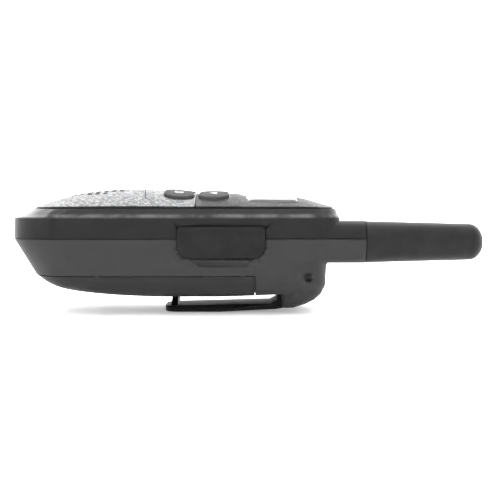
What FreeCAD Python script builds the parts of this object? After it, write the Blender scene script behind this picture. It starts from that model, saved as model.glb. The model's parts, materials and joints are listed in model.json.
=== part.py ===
import FreeCAD
import Part
import Sketcher
import math
import os
from FreeCAD import Rotation, Vector

# A hand-held two-way radio lying on the belt clip on its back, face up.
# Lengths are millimetres.  While it is built, X runs from the foot of the
# body (0) towards the end of the antenna, Y is across the body, and Z is
# height above the surface that the clip rests on.  Every part is moved back
# by half the overall length when it is written out.

DOCUMENT = FreeCAD.newDocument("two_way_radio")
SHEET = DOCUMENT.addObject("Spreadsheet::Sheet", "Sizes")

DIMENSIONS = (
    # whole radio
    ("overall_length", 165.0, "foot of the body to the end of the antenna"),
    ("body_length", 115.7, "foot to shoulder end of the body at the seam"),
    ("half_width", 28.0, "half the body width at the seam"),
    ("side_radius", 1600.0, "bow of the long sides seen from above"),
    ("foot_ratio", 1.96, "foot arc radius over half width"),
    ("corner_ratio", 0.60, "foot corner radius over half width"),
    ("top_ratio", 0.32, "top corner radius over half width"),
    ("wall", 2.0, "housing wall"),
    ("gap", 0.25, "gap round a panel, cover or button"),
    # heights
    ("back_height", 5.6, "lowest part of the back"),
    ("door_height", 13.7, "line between battery door and rear housing"),
    ("waist_height", 17.0, "where the top end wall starts to lean out"),
    ("seam_height", 26.4, "line between the two housings"),
    ("shoulder_height", 33.6, "top of the front side wall"),
    ("rim_height", 37.0, "top of the sloping band"),
    # insets of the outlines at those heights
    ("shoulder_inset", 0.2, "side wall lean in at the shoulder"),
    ("rim_side_inset", 2.0, "rim inside the seam outline at the sides"),
    ("rim_foot_inset", 6.9, "rim inside the seam outline at the foot"),
    ("rim_top_inset", 1.7, "rim inside the seam outline at the top"),
    ("door_side_inset", 1.0, "door line inside the seam outline at the sides"),
    ("door_foot_inset", 7.6, "door line inside the seam outline at the foot"),
    ("door_top_inset", 5.0, "door line inside the seam outline at the top"),
    ("seam_groove", 0.3, "depth of the groove along the seam"),
    ("edge_round", 0.7, "rounding along shoulder and rim"),
    # face panels
    ("rim_width", 1.0, "rim between band and panels"),
    ("panel_thick", 1.6, "panel skin"),
    ("panel_step", 0.35, "panel edge above the rim"),
    ("band_hollow", 0.12, "how far the sloping band is hollow, over its width"),
    ("ledge_width", 1.8, "ledge under the panel edge"),
    ("ledge_thick", 1.9, "ledge under the panels"),
    ("crown_rise", 6.4, "highest point of the face over the rim"),
    ("crown_margin", 1.5, "how far outside the panels the crown meets the rim"),
    ("speaker_end", 46.5, "end of the speaker panel on the middle line"),
    ("speaker_wing", 53.5, "end of the speaker panel at the sides"),
    ("wing_start", 18.0, "half width of the straight middle of that edge"),
    ("speaker_lean", 1.5, "how far that edge leans towards the keys at the sides"),
    ("keypad_end", 65.45, "end of the keypad panel"),
    ("speaker_x", 30.5, "speaker centre"),
    ("hole_field", 11.9, "radius of the field of sound holes"),
    ("hole_pitch", 2.8, "spacing of the sound holes"),
    ("hole_radius", 1.0, "sound hole"),
    # keys
    ("key_lower_x", 59.4, "centre of the lower pair of keys"),
    ("key_upper_x", 71.5, "centre of the upper pair of keys"),
    ("key_y", 11.5, "key centre from the middle line"),
    ("key_length", 10.2, "key size along the radio"),
    ("key_width", 13.0, "key size across the radio"),
    ("key_corner", 4.4, "corner radius of a key"),
    ("key_proud", 1.1, "key height over the face"),
    ("key_round", 0.5, "rounding round the top of a key"),
    ("key_gap", 0.25, "gap round a key"),
    ("key_flange", 0.8, "flange that keeps a key in its panel"),
    ("key_travel", 0.7, "how far a key goes down"),
    ("key_stem", 2.0, "radius of the stem under a key"),
    # display
    ("lens_start", 83.2, "lens edge towards the keys"),
    ("lens_end", 100.9, "lens edge towards the antenna"),
    ("lens_half_width", 17.0, "half width of the lens"),
    ("lens_top", 40.7, "top of the lens on the middle line"),
    ("lens_crown", 1.0, "how far the lens falls towards its sides"),
    ("lens_thick", 2.1, "lens"),
    ("lens_bevel", 0.7, "bevel round the lens"),
    ("lens_corner", 2.4, "corner radius of the lens"),
    # side cover and push to talk button
    ("cover_start", 59.5, "socket cover edge towards the foot"),
    ("cover_end", 89.4, "socket cover edge towards the top"),
    ("cover_low", 19.8, "lower edge of the socket cover"),
    ("cover_high", 30.6, "upper edge of the socket cover"),
    ("cover_proud", 0.8, "cover and button stand proud of the wall"),
    ("cover_depth", 0.8, "cover sunk into the wall"),
    ("cover_big_corner", 4.2, "lower corners of the cover"),
    ("cover_small_corner", 1.2, "upper corners of the cover"),
    ("nail_start", 66.3, "finger recess under the cover, start"),
    ("nail_end", 83.6, "finger recess under the cover, end"),
    ("nail_depth", 0.8, "depth of the finger recess"),
    ("nail_radius", 1.0, "hollow of the finger recess"),
    ("nail_drop", 2.05, "middle of the finger recess below the cover"),
    ("jack_height", 27.3, "height of the two socket centres"),
    ("headset_x", 69.5, "3.5 mm socket centre"),
    ("microphone_x", 80.5, "2.5 mm socket centre"),
    ("headset_bore", 1.80, "radius of the 3.5 mm socket"),
    ("microphone_bore", 1.30, "radius of the 2.5 mm socket"),
    ("jack_barrel", 2.6, "radius of a socket barrel"),
    ("jack_length", 14.5, "length of a socket body"),
    ("jack_side", 7.0, "width of a socket body"),
    ("ptt_x", 84.5, "push to talk button centre"),
    ("ptt_height", 27.0, "push to talk button centre height"),
    ("ptt_length", 26.0, "push to talk button length"),
    ("ptt_tall", 9.6, "push to talk button height"),
    ("ptt_corner", 3.4, "push to talk button corner radius"),
    ("ptt_travel", 1.0, "push to talk button travel"),
    # antenna
    ("neck_radius", 7.35, "neck that holds the antenna"),
    ("neck_y", 18.0, "antenna axis from the middle line"),
    ("neck_height", 25.15, "antenna axis height"),
    ("neck_start", 108.5, "inner end of the neck"),
    ("neck_end", 124.0, "outer end of the neck"),
    ("neck_bore", 5.2, "bore of the neck"),
    ("sleeve_radius", 7.25, "antenna sleeve at the neck"),
    ("sleeve_tip_radius", 6.2, "antenna sleeve near its end"),
    ("sleeve_bore", 4.4, "bore of the antenna sleeve"),
    ("coil_radius", 3.5, "antenna coil"),
    ("coil_wire", 0.45, "antenna coil wire radius"),
    ("coil_pitch", 2.4, "antenna coil pitch"),
    # belt clip
    ("clip_end", 54.1, "free end of the clip"),
    ("clip_half_width", 11.0, "half width of the clip"),
    ("clip_thick", 2.0, "clip arm"),
    ("clip_flat_end", 73.5, "end of the flat that the radio rests on"),
    ("clip_lift", 1.0, "rise of the arm towards its hinge"),
    ("hinge_x", 96.4, "clip hinge axis"),
    ("hinge_height", 5.2, "clip hinge axis height"),
    ("knuckle_radius", 2.1, "clip hinge knuckle"),
    ("pin_radius", 0.9, "clip hinge pin"),
    ("pin_clearance", 0.05, "clip bore over the pin"),
    ("cheek_inner", 11.3, "inner face of the hinge cheeks"),
    ("cheek_outer", 14.0, "outer face of the hinge cheeks"),
    ("peg_start", 56.1, "rib on the clip that grips the belt, start"),
    ("peg_end", 58.6, "rib on the clip that grips the belt, end"),
    ("base_start", 94.2, "clip base, start"),
    ("base_end", 106.2, "clip base, end"),
    ("base_roof", 7.8, "underside of the clip base plate"),
    ("base_top", 9.0, "upper side of the clip base plate"),
    ("tab_end", 104.0, "end of the thumb tab of the clip"),
    ("bulge_start", 94.6, "swelling of the back round the clip base"),
    # strap eye
    ("eye_x", 103.7, "strap eye centre"),
    ("eye_height", 13.1, "strap eye centre height"),
    ("eye_radius", 1.5, "strap eye tunnel"),
    ("eye_slant", 0.5, "strap eye tunnel, millimetres towards the antenna per millimetre in"),
    ("scoop_radius", 7.1, "scoop round the strap eye"),
    ("scoop_offset", 5.5, "scoop centre outside the wall"),
    # battery bay
    ("door_end", 86.0, "end of the battery door"),
    ("door_wall", 1.8, "side wall of the battery door"),
    ("bay_roof", 22.3, "roof of the battery bay"),
    ("bay_roof_thick", 1.0, "roof between battery bay and boards"),
    ("bay_end", 85.3, "end of the battery bay"),
    ("cell_start", 32.0, "foot end of the cells"),
    ("cell_length", 50.5, "AA cell with its button"),
    ("cell_radius", 7.15, "AA cell"),
    ("cell_pitch", 14.8, "spacing of the cells"),
    ("cell_height", 15.05, "height of the cell axes"),
    ("button_radius", 2.75, "positive button of a cell"),
    ("button_length", 1.3, "positive button of a cell"),
    ("plate_thick", 0.4, "battery contact plate"),
    # boards
    ("board_start", 42.5, "main board, start"),
    ("board_end", 107.0, "main board, end"),
    ("board_half_width", 21.5, "main board half width"),
    ("board_bottom", 23.6, "main board underside"),
    ("board_thick", 1.2, "both boards"),
    ("face_board_start", 48.5, "display board, start"),
    ("face_board_end", 105.0, "display board, end"),
    ("face_board_half", 19.0, "display board half width"),
    ("face_board_bottom", 34.6, "display board underside"),
    # speaker
    ("speaker_radius", 16.0, "speaker frame"),
    ("speaker_top", 37.2, "front of the speaker frame"),
    ("speaker_deep", 5.3, "speaker frame depth"),
    ("magnet_radius", 9.0, "speaker magnet"),
    ("magnet_thick", 3.2, "speaker magnet"),
    # screws
    ("screw_head", 2.2, "housing screw head radius"),
    ("screw_shank", 1.1, "housing screw shank radius"),
    ("boss_radius", 3.0, "screw boss"),
    ("foot_screw_x", 14.0, "housing screws near the foot"),
    ("foot_screw_y", 14.0, "housing screws near the foot, from the middle"),
    ("cover_screw_x", 101.5, "housing screw near the top on the socket side"),
    ("button_screw_x", 101.5, "housing screw near the top on the button side"),
    ("top_screw_y", 11.0, "housing screws near the top, from the middle"),
    ("foot_seat", 19.5, "seat of the foot screw heads"),
    ("top_seat", 12.5, "seat of the top screw heads"),
    ("screw_tip", 31.0, "tips of the housing screws"),
    ("boss_top", 33.0, "top of the screw bosses"),
    ("board_screw_x", 70.0, "board screws"),
    ("board_screw_y", 7.5, "board screws, from the middle"),
)

for row, (alias, amount, meaning) in enumerate(DIMENSIONS, start=1):
    SHEET.set("A%d" % row, alias)
    SHEET.set("B%d" % row, str(amount))
    SHEET.set("C%d" % row, meaning)
    SHEET.setAlias("B%d" % row, alias)
DOCUMENT.recompute()


class Size:
    """A length together with the sheet formula that it comes from."""

    def __init__(self, amount, formula):
        self.amount = amount
        self.formula = formula

    def _join(self, other, sign, answer):
        other = as_size(other)
        return Size(answer, "(%s %s %s)" % (self.formula, sign, other.formula))

    def __add__(self, other):
        return self._join(other, "+", self.amount + float(other))

    def __sub__(self, other):
        return self._join(other, "-", self.amount - float(other))

    def __mul__(self, other):
        return self._join(other, "*", self.amount * float(other))

    def __truediv__(self, other):
        return self._join(other, "/", self.amount / float(other))

    def __radd__(self, other):
        return as_size(other) + self

    def __rsub__(self, other):
        return as_size(other) - self

    def __rmul__(self, other):
        return as_size(other) * self

    def __neg__(self):
        return Size(-self.amount, "(0 - %s)" % self.formula)

    def __float__(self):
        return float(self.amount)


def as_size(thing):
    """Turn a plain number into a Size, and leave a Size alone."""
    if isinstance(thing, Size):
        return thing
    return Size(float(thing), "(%r)" % float(thing))


def size(alias):
    """Read one driving dimension from the sheet."""
    return Size(float(SHEET.get(alias)), "Sizes." + alias)


def mm(alias):
    """The number held by one driving dimension."""
    return float(SHEET.get(alias))


NODES = []


def node(thing, label):
    """Name an object after the part it is and keep it for writing out."""
    thing.Label = label
    NODES.append(thing)
    return thing


# ---------------------------------------------------------------- sketches

def origin_plane(body, role):
    """One of the three origin planes of a body."""
    return [item for item in body.Origin.OriginFeatures if item.Role == role][0]


def new_body(label):
    """An empty body, kept as a part."""
    body = DOCUMENT.addObject("PartDesign::Body", label)
    return node(body, label)


def new_sketch(body, role, offset=None):
    """A sketch on an origin plane of the body, moved along its normal."""
    drawn = body.newObject("Sketcher::SketchObject", body.Name + "_sketch")
    drawn.AttachmentSupport = [(origin_plane(body, role), "")]
    drawn.MapMode = "FlatFace"
    if offset is not None:
        drawn.setExpression("AttachmentOffset.Base.z", as_size(offset).formula)
    return drawn


def pin_point(drawn, edge, end, point):
    """Fix an end of a sketch edge at a point given in sheet sizes."""
    for kind, amount in (("DistanceX", point[0]), ("DistanceY", point[1])):
        amount = as_size(amount)
        rule = Sketcher.Constraint(kind, -1, 1, edge, end, float(amount))
        index = drawn.addConstraint(rule)
        drawn.setExpression("Constraints[%d]" % index, amount.formula)


def draw_polygon(drawn, points):
    """A closed polygon whose corners all follow the sheet."""
    first = drawn.GeometryCount
    count = len(points)
    for index in range(count):
        start = points[index]
        finish = points[(index + 1) % count]
        line = Part.LineSegment(Vector(float(start[0]), float(start[1]), 0),
                                Vector(float(finish[0]), float(finish[1]), 0))
        drawn.addGeometry(line)
    for index in range(count):
        following = first + (index + 1) % count
        drawn.addConstraint(Sketcher.Constraint("Coincident", first + index, 2, following, 1))
    for index, point in enumerate(points):
        pin_point(drawn, first + index, 1, point)


def draw_circle(drawn, centre, radius):
    """A circle whose centre and radius follow the sheet."""
    radius = as_size(radius)
    index = drawn.GeometryCount
    middle = Vector(float(centre[0]), float(centre[1]), 0)
    drawn.addGeometry(Part.Circle(middle, Vector(0, 0, 1), float(radius)))
    pin_point(drawn, index, 3, centre)
    rule = drawn.addConstraint(Sketcher.Constraint("Radius", index, float(radius)))
    drawn.setExpression("Constraints[%d]" % rule, radius.formula)


def pad(body, drawn, length, both_ways=False):
    """Pad a sketch by a sheet size."""
    made = body.newObject("PartDesign::Pad", body.Name + "_pad")
    made.Profile = (drawn, [""])
    made.setExpression("Length", as_size(length).formula)
    made.Midplane = both_ways
    return made


def pocket(body, drawn, length, both_ways=False, reverse=False):
    """Cut a sketch out of the body by a sheet size."""
    made = body.newObject("PartDesign::Pocket", body.Name + "_pocket")
    made.Profile = (drawn, [""])
    made.setExpression("Length", as_size(length).formula)
    made.Midplane = both_ways
    made.Reversed = reverse
    return made


def turned(label, profile, axis="V_Axis"):
    """A body turned from a profile; V turns it about Z and H about X."""
    body = new_body(label)
    drawn = new_sketch(body, "XZ_Plane")
    draw_polygon(drawn, profile)
    made = body.newObject("PartDesign::Revolution", label + "_turn")
    made.Profile = (drawn, [""])
    made.ReferenceAxis = (drawn, [axis])
    made.Angle = 360.0
    return body


def place(thing, x=None, y=None, z=None):
    """Put an object at a point given in sheet sizes."""
    for letter, amount in (("x", x), ("y", y), ("z", z)):
        if amount is not None:
            thing.setExpression("Placement.Base." + letter, as_size(amount).formula)
    return thing


# -------------------------------------------------------------- primitives

def block(x, y, z, label="block"):
    """A box between pairs of sheet sizes."""
    made = DOCUMENT.addObject("Part::Box", label)
    for side, pair in (("Length", x), ("Width", y), ("Height", z)):
        span = as_size(pair[1]) - as_size(pair[0])
        made.setExpression(side, span.formula)
    return place(made, x[0], y[0], z[0])


def rod(centre, radius, length, axis="z", label="rod"):
    """A cylinder that starts at a point and runs along an axis."""
    made = DOCUMENT.addObject("Part::Cylinder", label)
    turns = {"x": Rotation(Vector(0, 1, 0), 90), "y": Rotation(Vector(1, 0, 0), -90),
             "z": Rotation()}
    made.Placement = FreeCAD.Placement(Vector(0, 0, 0), turns[axis])
    made.setExpression("Radius", as_size(radius).formula)
    made.setExpression("Height", as_size(length).formula)
    return place(made, *centre)


def cut(base, tools, label="cut"):
    """The base with every tool taken away."""
    for tool in tools:
        made = DOCUMENT.addObject("Part::Cut", label)
        made.Base = base
        made.Tool = tool
        base = made
    return base


def fuse(parts, label="fuse"):
    """Several shapes made one."""
    made = DOCUMENT.addObject("Part::MultiFuse", label)
    made.Shapes = parts
    return made


# ---------------------------------------------------------- free-form work

def feature(label, shape):
    """Keep a built shape as a part."""
    made = DOCUMENT.addObject("Part::Feature", label)
    made.Shape = shape
    return node(made, label)


def smooth_table(stations):
    """A smooth curve through (place, height) pairs that never overshoots."""
    places = [pair[0] for pair in stations]
    heights = [pair[1] for pair in stations]
    count = len(stations)
    slopes = [(heights[i + 1] - heights[i]) / (places[i + 1] - places[i])
              for i in range(count - 1)]
    tangents = [slopes[0]]
    for left, right in zip(slopes[:-1], slopes[1:]):
        same_way = left * right > 0
        tangents.append(2 * left * right / (left + right) if same_way else 0.0)
    tangents.append(slopes[-1])

    def curve(where):
        where = min(max(where, places[0]), places[-1])
        step = 0
        while step < count - 2 and where > places[step + 1]:
            step += 1
        span = places[step + 1] - places[step]
        part = (where - places[step]) / span
        rest = 1 - part
        return (heights[step] * (1 + 2 * part) * rest ** 2
                + heights[step + 1] * part ** 2 * (3 - 2 * part)
                + span * tangents[step] * part * rest ** 2
                - span * tangents[step + 1] * part ** 2 * rest)

    return curve


class Outline:
    """The body seen from above: round foot, bowed sides and a straight top."""

    def __init__(self, foot, top, half, height, grow=0.0):
        self.height = height
        self.grow = grow
        self.foot = foot
        self.top = top
        self.half = half
        self.foot_radius = mm("foot_ratio") * half
        self.corner_radius = mm("corner_ratio") * half
        self.top_radius = mm("top_ratio") * half
        self.side_radius = mm("side_radius")
        self.foot_centre = foot + self.foot_radius
        self.corner_y = half - self.corner_radius
        reach = self.foot_radius - self.corner_radius
        self.corner_x = self.foot_centre - math.sqrt(reach ** 2 - self.corner_y ** 2)
        self.side_y = half - self.side_radius
        self.top_x = top - self.top_radius
        run = self.top_x - self.corner_x
        drop = self.side_radius - self.top_radius
        self.top_y = self.side_y + math.sqrt(drop ** 2 - run ** 2)

    def side_at(self, x):
        """Half width of the long side at a place along the body."""
        run = x - self.corner_x
        return self.side_y + math.sqrt((self.side_radius + self.grow) ** 2 - run ** 2)

    def half_at(self, x):
        """Half width of the whole outline at a place along the body."""
        way = math.hypot(self.foot_centre - self.corner_x, self.corner_y)
        joint = self.foot_centre - (self.foot_centre - self.corner_x) * self.foot_radius / way
        if x <= self.foot:
            return 0.0
        if x <= joint:
            return math.sqrt(self.foot_radius ** 2 - (self.foot_centre - x) ** 2)
        if x <= self.corner_x:
            return self.corner_y + math.sqrt(self.corner_radius ** 2 - (self.corner_x - x) ** 2)
        if x <= self.top_x:
            return self.side_at(x)
        across = max(self.top_radius ** 2 - (x - self.top_x) ** 2, 0.0)
        return self.top_y + math.sqrt(across)

    def _on_arc(self, centre, towards, radius):
        way = Vector(towards[0] - centre[0], towards[1] - centre[1], 0).normalize()
        return (centre[0] + way.x * radius, centre[1] + way.y * radius)

    def _arc(self, start, finish, centre, radius):
        middle = self._on_arc(centre, ((start[0] + finish[0]) / 2, (start[1] + finish[1]) / 2),
                              radius)
        points = [Vector(spot[0], spot[1], self.height) for spot in (start, middle, finish)]
        return Part.Arc(*points).toShape()

    def wire(self):
        """The closed outline as eight edges in the same order every time."""
        grow = self.grow
        foot = (self.foot_centre, 0.0)
        joints = {}
        centres = {}
        for side in (-1, 1):
            corner = (self.corner_x, side * self.corner_y)
            flank = (self.corner_x, side * self.side_y)
            top = (self.top_x, side * self.top_y)
            centres[side] = (corner, flank, top)
            joints[side] = (self._on_arc(foot, corner, self.foot_radius + grow),
                            (self.corner_x, side * (self.half + grow)),
                            self._on_arc(flank, top, self.side_radius + grow),
                            (self.top + grow, side * self.top_y))
        radii = (self.corner_radius + grow, self.side_radius + grow, self.top_radius + grow)
        edges = [self._arc(joints[1][0], joints[-1][0], foot, self.foot_radius + grow)]
        for step in range(3):
            edges.append(self._arc(joints[-1][step], joints[-1][step + 1],
                                   centres[-1][step], radii[step]))
        line = Part.LineSegment(Vector(joints[-1][3][0], joints[-1][3][1], self.height),
                                Vector(joints[1][3][0], joints[1][3][1], self.height))
        edges.append(line.toShape())
        for step in (2, 1, 0):
            edges.append(self._arc(joints[1][step + 1], joints[1][step],
                                   centres[1][step], radii[step]))
        return Part.Wire(edges)


def stack(levels, grow=0.0):
    """A solid through outlines given as (foot, top, half, height)."""
    return Part.makeLoft([Outline(*level, grow=grow).wire() for level in levels], True, True)


def column(level, low, high, grow=0.0):
    """An upright solid on one outline."""
    wire = Outline(level[0], level[1], level[2], low, grow=grow).wire()
    return Part.Face(wire).extrude(Vector(0, 0, high - low))


def eased(before, corner, after, length, steps=4):
    """Levels that round the edge at the corner level."""
    def towards(other):
        share = length / abs(other[3] - corner[3]) / 2
        return [c + (o - c) * share for c, o in zip(corner, other)]
    start, finish = towards(before), towards(after)
    levels = []
    for step in range(steps + 1):
        part = step / steps
        levels.append(tuple((1 - part) ** 2 * a + 2 * part * (1 - part) * b + part ** 2 * c
                            for a, b, c in zip(start, corner, finish)))
    return levels


def inset(level, amount, height=None):
    """A level moved in by the same amount all round."""
    foot, top, half, at_height = level
    return (foot + amount, top - amount, half - amount, at_height if height is None else height)


def box_solid(x, y, z):
    """A plain box solid between pairs of numbers."""
    return Part.makeBox(x[1] - x[0], y[1] - y[0], z[1] - z[0], Vector(x[0], y[0], z[0]))


def rod_solid(centre, radius, length, way=(0, 0, 1)):
    """A plain cylinder solid."""
    return Part.makeCylinder(radius, length, Vector(*centre), Vector(*way))


def side_profile(x, z, corners, grow=0.0):
    """A rounded rectangle in the side view.

    The corners run low start, low end, high end, high start.
    """
    x0, x1, z0, z1 = x[0] - grow, x[1] + grow, z[0] - grow, z[1] + grow
    radii = [corner + grow for corner in corners]
    slant = 1 - math.sqrt(0.5)
    spots = ((x0, z0, 1, 1), (x1, z0, -1, 1), (x1, z1, -1, -1), (x0, z1, 1, -1))
    edges = []
    ends = []
    for index, (x_at, z_at, x_way, z_way) in enumerate(spots):
        r = radii[index]
        along = Vector(x_at + x_way * r, 0, z_at)
        upright = Vector(x_at, 0, z_at + z_way * r)
        middle = Vector(x_at + x_way * r * slant, 0, z_at + z_way * r * slant)
        first, last = (upright, along) if index % 2 == 0 else (along, upright)
        edges.append(Part.Arc(first, middle, last).toShape())
        ends.append((first, last))
    joined = []
    for index in range(4):
        joined.append(edges[index])
        joined.append(Part.LineSegment(ends[index][1], ends[(index + 1) % 4][0]).toShape())
    return Part.Wire(joined)


def side_prism(wire, side, start=0.0):
    """A side profile pushed out through one side wall (side is -1 or 1)."""
    reach = mm("half_width") * 1.5
    prism = Part.Face(wire).extrude(Vector(0, side * reach, 0))
    prism.translate(Vector(0, side * start, 0))
    return prism


def plan_prism(points, low, high):
    """An upright prism on a polygon seen from above."""
    corners = [Vector(x, y, low) for x, y in points]
    wire = Part.makePolygon(corners + corners[:1])
    return Part.Face(wire).extrude(Vector(0, 0, high - low))


def plan_wire(x, y, corner, height):
    """A rounded rectangle seen from above, at one height."""
    wire = side_profile(x, y, (corner,) * 4)
    wire.rotate(Vector(0, 0, 0), Vector(1, 0, 0), -90)
    wire.translate(Vector(0, 0, height))
    return wire


def plan_oval(centre, length, width, corner, low, high, grow=0.0):
    """An upright rounded rectangle seen from above."""
    x = (centre[0] - length / 2 - grow, centre[0] + length / 2 + grow)
    y = (centre[1] - width / 2 - grow, centre[1] + width / 2 + grow)
    wire = plan_wire(x, y, corner + grow, low)
    return Part.Face(wire).extrude(Vector(0, 0, high - low))


def without(shape, *tools):
    """A solid with several others taken away."""
    return shape.cut(list(tools))


def largest(shape):
    """The biggest solid of a shape, with tiny leftovers dropped."""
    return sorted(shape.Solids, key=lambda solid: solid.Volume)[-1]


def united(shape, *others):
    """Several solids made one, with split faces merged."""
    return shape.fuse(list(others)).removeSplitter()


# ----------------------------------------------------- body levels (plan)

BODY_LENGTH = mm("body_length")
HALF = mm("half_width")
WALL = mm("wall")
GAP = mm("gap")

SEAM = (0.0, BODY_LENGTH, HALF, mm("seam_height"))
SHOULDER = inset(SEAM, mm("shoulder_inset"), mm("shoulder_height"))
RIM = (mm("rim_foot_inset"), BODY_LENGTH - mm("rim_top_inset"),
       HALF - mm("rim_side_inset"), mm("rim_height"))
PANEL = inset(RIM, mm("rim_width"))
OPENING = inset(PANEL, mm("ledge_width"))
DOOR = (mm("door_foot_inset"), BODY_LENGTH - mm("door_top_inset"),
        HALF - mm("door_side_inset"), mm("door_height"))
WAIST_SHARE = ((mm("waist_height") - mm("door_height"))
               / (mm("seam_height") - mm("door_height")))
WAIST = (DOOR[0] + (SEAM[0] - DOOR[0]) * WAIST_SHARE, DOOR[1] + 0.2,
         DOOR[2] + (SEAM[2] - DOOR[2]) * WAIST_SHARE, mm("waist_height"))

# The back curves in below the door line.  Each row is the share of the
# height left, then the insets at foot, side and top.
BACK_STATIONS = (
    (1.000, 0.0, 0.0, 0.0),
    (0.667, 3.6, 0.8, 0.03),
    (0.420, 8.0, 2.6, 0.5),
    (0.247, 15.0, 5.0, 3.0),
    (0.099, 26.0, 9.0, 20.0),
    (0.000, 38.0, 14.0, 33.0),
)
BACK_BANDS = 12


def back_levels(thickness=0.0, floor=0.0):
    """Levels of the curved back, moved in for the inside of a shell."""
    curves = [smooth_table([(place_at, row[column_at])
                            for place_at, row in enumerate(BACK_STATIONS)])
              for column_at in range(4)]
    drop = mm("door_height") - mm("back_height")
    levels = []
    for band in range(BACK_BANDS + 1):
        where = band * (len(BACK_STATIONS) - 1) / BACK_BANDS
        share, foot, side, top = [curve(where) for curve in curves]
        turned_in = 1 - share
        wall = thickness * (1 - turned_in)
        rise = floor * math.sqrt(turned_in)
        levels.append((DOOR[0] + foot + wall, DOOR[1] - top - wall, DOOR[2] - side - wall,
                       mm("back_height") + share * drop + rise))
    return levels


# ------------------------------------------------------ crowned front face

# Height of the face along the middle line: place over the body length and
# height over the crown rise.
CROWN_STATIONS = (
    (0.020, -0.110), (0.056, 0.000), (0.135, 0.440), (0.197, 0.727), (0.259, 0.890),
    (0.353, 1.000), (0.402, 1.000), (0.454, 0.940), (0.563, 0.766), (0.681, 0.766),
    (0.730, 0.594), (0.875, 0.531), (0.963, 0.125), (0.985, 0.047), (1.020, 0.000),
)
CROWN_COLUMNS = 56
CROWN_ROWS = 15


def crown_height(x, y):
    """Height of the front face at a point of the plan."""
    rise = CROWN_CURVE(x / BODY_LENGTH) * mm("crown_rise")
    reach = CROWN_EDGE.half_at(x) + mm("crown_margin")
    share = abs(y) / reach
    fall = 1 - share ** 2 if share <= 1 else 2 - 2 * share
    return mm("rim_height") + rise * max(fall, -0.6)


CROWN_CURVE = smooth_table(CROWN_STATIONS)
CROWN_EDGE = Outline(*PANEL)


def crown_face():
    """The front face as one smooth surface over the whole plan."""
    start = PANEL[0] - 1.0
    length = PANEL[1] + 1.0 - start
    width = PANEL[2] + 1.0
    grid = []
    for column_at in range(CROWN_COLUMNS + 1):
        x = start + length * column_at / CROWN_COLUMNS
        row = []
        for row_at in range(CROWN_ROWS):
            y = width * (2 * row_at / (CROWN_ROWS - 1) - 1)
            row.append(Vector(x, y, crown_height(x, y)))
        grid.append(row)
    surface = Part.BSplineSurface()
    surface.interpolate(grid)
    return surface.toShape()


CROWN = crown_face()


def skin(above, below):
    """A shell that follows the face, from so far over it to so far under it."""
    sheet = CROWN.copy()
    sheet.translate(Vector(0, 0, above))
    return sheet.extrude(Vector(0, 0, -(above + below)))


# ------------------------------------------------- shared places and tools

FAR = 200.0
HINGE = (mm("hinge_x"), mm("hinge_height"))
NECK_AXIS = (-mm("neck_y"), mm("neck_height"))
FACE_BOARD_TOP = mm("face_board_bottom") + mm("board_thick")
BOARD_TOP = mm("board_bottom") + mm("board_thick")
SCREWS = (
    (mm("foot_screw_x"), -mm("foot_screw_y"), mm("foot_seat")),
    (mm("foot_screw_x"), mm("foot_screw_y"), mm("foot_seat")),
    (mm("cover_screw_x"), -mm("top_screw_y"), mm("top_seat")),
    (mm("button_screw_x"), mm("top_screw_y"), mm("top_seat")),
)
KEYS = (
    ("key_call", mm("key_lower_x"), -1),
    ("key_menu", mm("key_lower_x"), 1),
    ("key_down", mm("key_upper_x"), -1),
    ("key_up", mm("key_upper_x"), 1),
)
LIGHT_SPOT = (mm("lens_end") + 2.9, 14.0)
MICROPHONE_SPOT = (mm("speaker_wing") - 2.0, 0.0)

WALLS = (DOOR, WAIST, SEAM, SHOULDER)


def walls_offset(grow):
    """The side walls of the body as a solid, moved out or in."""
    return stack(WALLS, grow=grow)


def cover_profile(grow=0.0):
    """Side view of the socket cover."""
    corners = (mm("cover_big_corner"),) * 2 + (mm("cover_small_corner"),) * 2
    return side_profile((mm("cover_start"), mm("cover_end")),
                        (mm("cover_low"), mm("cover_high")), corners, grow)


def button_profile(grow=0.0):
    """Side view of the push to talk button."""
    half_long, half_tall = mm("ptt_length") / 2, mm("ptt_tall") / 2
    return side_profile((mm("ptt_x") - half_long, mm("ptt_x") + half_long),
                        (mm("ptt_height") - half_tall, mm("ptt_height") + half_tall),
                        (mm("ptt_corner"),) * 4, grow)


def jack_holes():
    """Clear holes for both socket barrels through the side wall."""
    holes = []
    for x in (mm("headset_x"), mm("microphone_x")):
        holes.append(rod_solid((x, -mm("jack_length") / 2, mm("jack_height")),
                               mm("jack_barrel") + GAP, FAR / 4, (0, -1, 0)))
    return holes


def side_openings():
    """Everything taken out of the two side walls."""
    sunk = mm("cover_depth") + 0.15
    cover_seat = side_prism(cover_profile(GAP), -1).cut(walls_offset(-sunk))
    button_hole = side_prism(button_profile(GAP), 1, HALF * 0.75)
    flange_room = side_prism(button_profile(1.4), 1, HALF * 0.77)
    flange_room = flange_room.common(walls_offset(-WALL - 0.01))
    return [cover_seat, button_hole, flange_room] + jack_holes()


def neck_solid():
    """The round neck that carries the antenna."""
    length = mm("neck_end") - mm("neck_start")
    return rod_solid((mm("neck_start"),) + NECK_AXIS, mm("neck_radius"), length, (1, 0, 0))


def neck_tools():
    """The bore of the neck and the fine groove along its joint."""
    inner_wall = 1.5
    start = mm("neck_start") + inner_wall
    bore = rod_solid((start,) + NECK_AXIS, mm("neck_bore"), FAR, (1, 0, 0))
    wire_hole = rod_solid((start - 3.0,) + NECK_AXIS, 1.2, FAR, (1, 0, 0))
    half_groove, groove_depth = 0.2, 0.35
    strip = box_solid((start, mm("neck_end") + 1), (NECK_AXIS[0] - 10, NECK_AXIS[0] + 10),
                      (SEAM[3] - half_groove, SEAM[3] + half_groove))
    core = rod_solid((start,) + NECK_AXIS, mm("neck_radius") - groove_depth, FAR, (1, 0, 0))
    return [bore, wire_hole, strip.cut(core)]


# ----------------------------------------------------------- front housing

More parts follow.
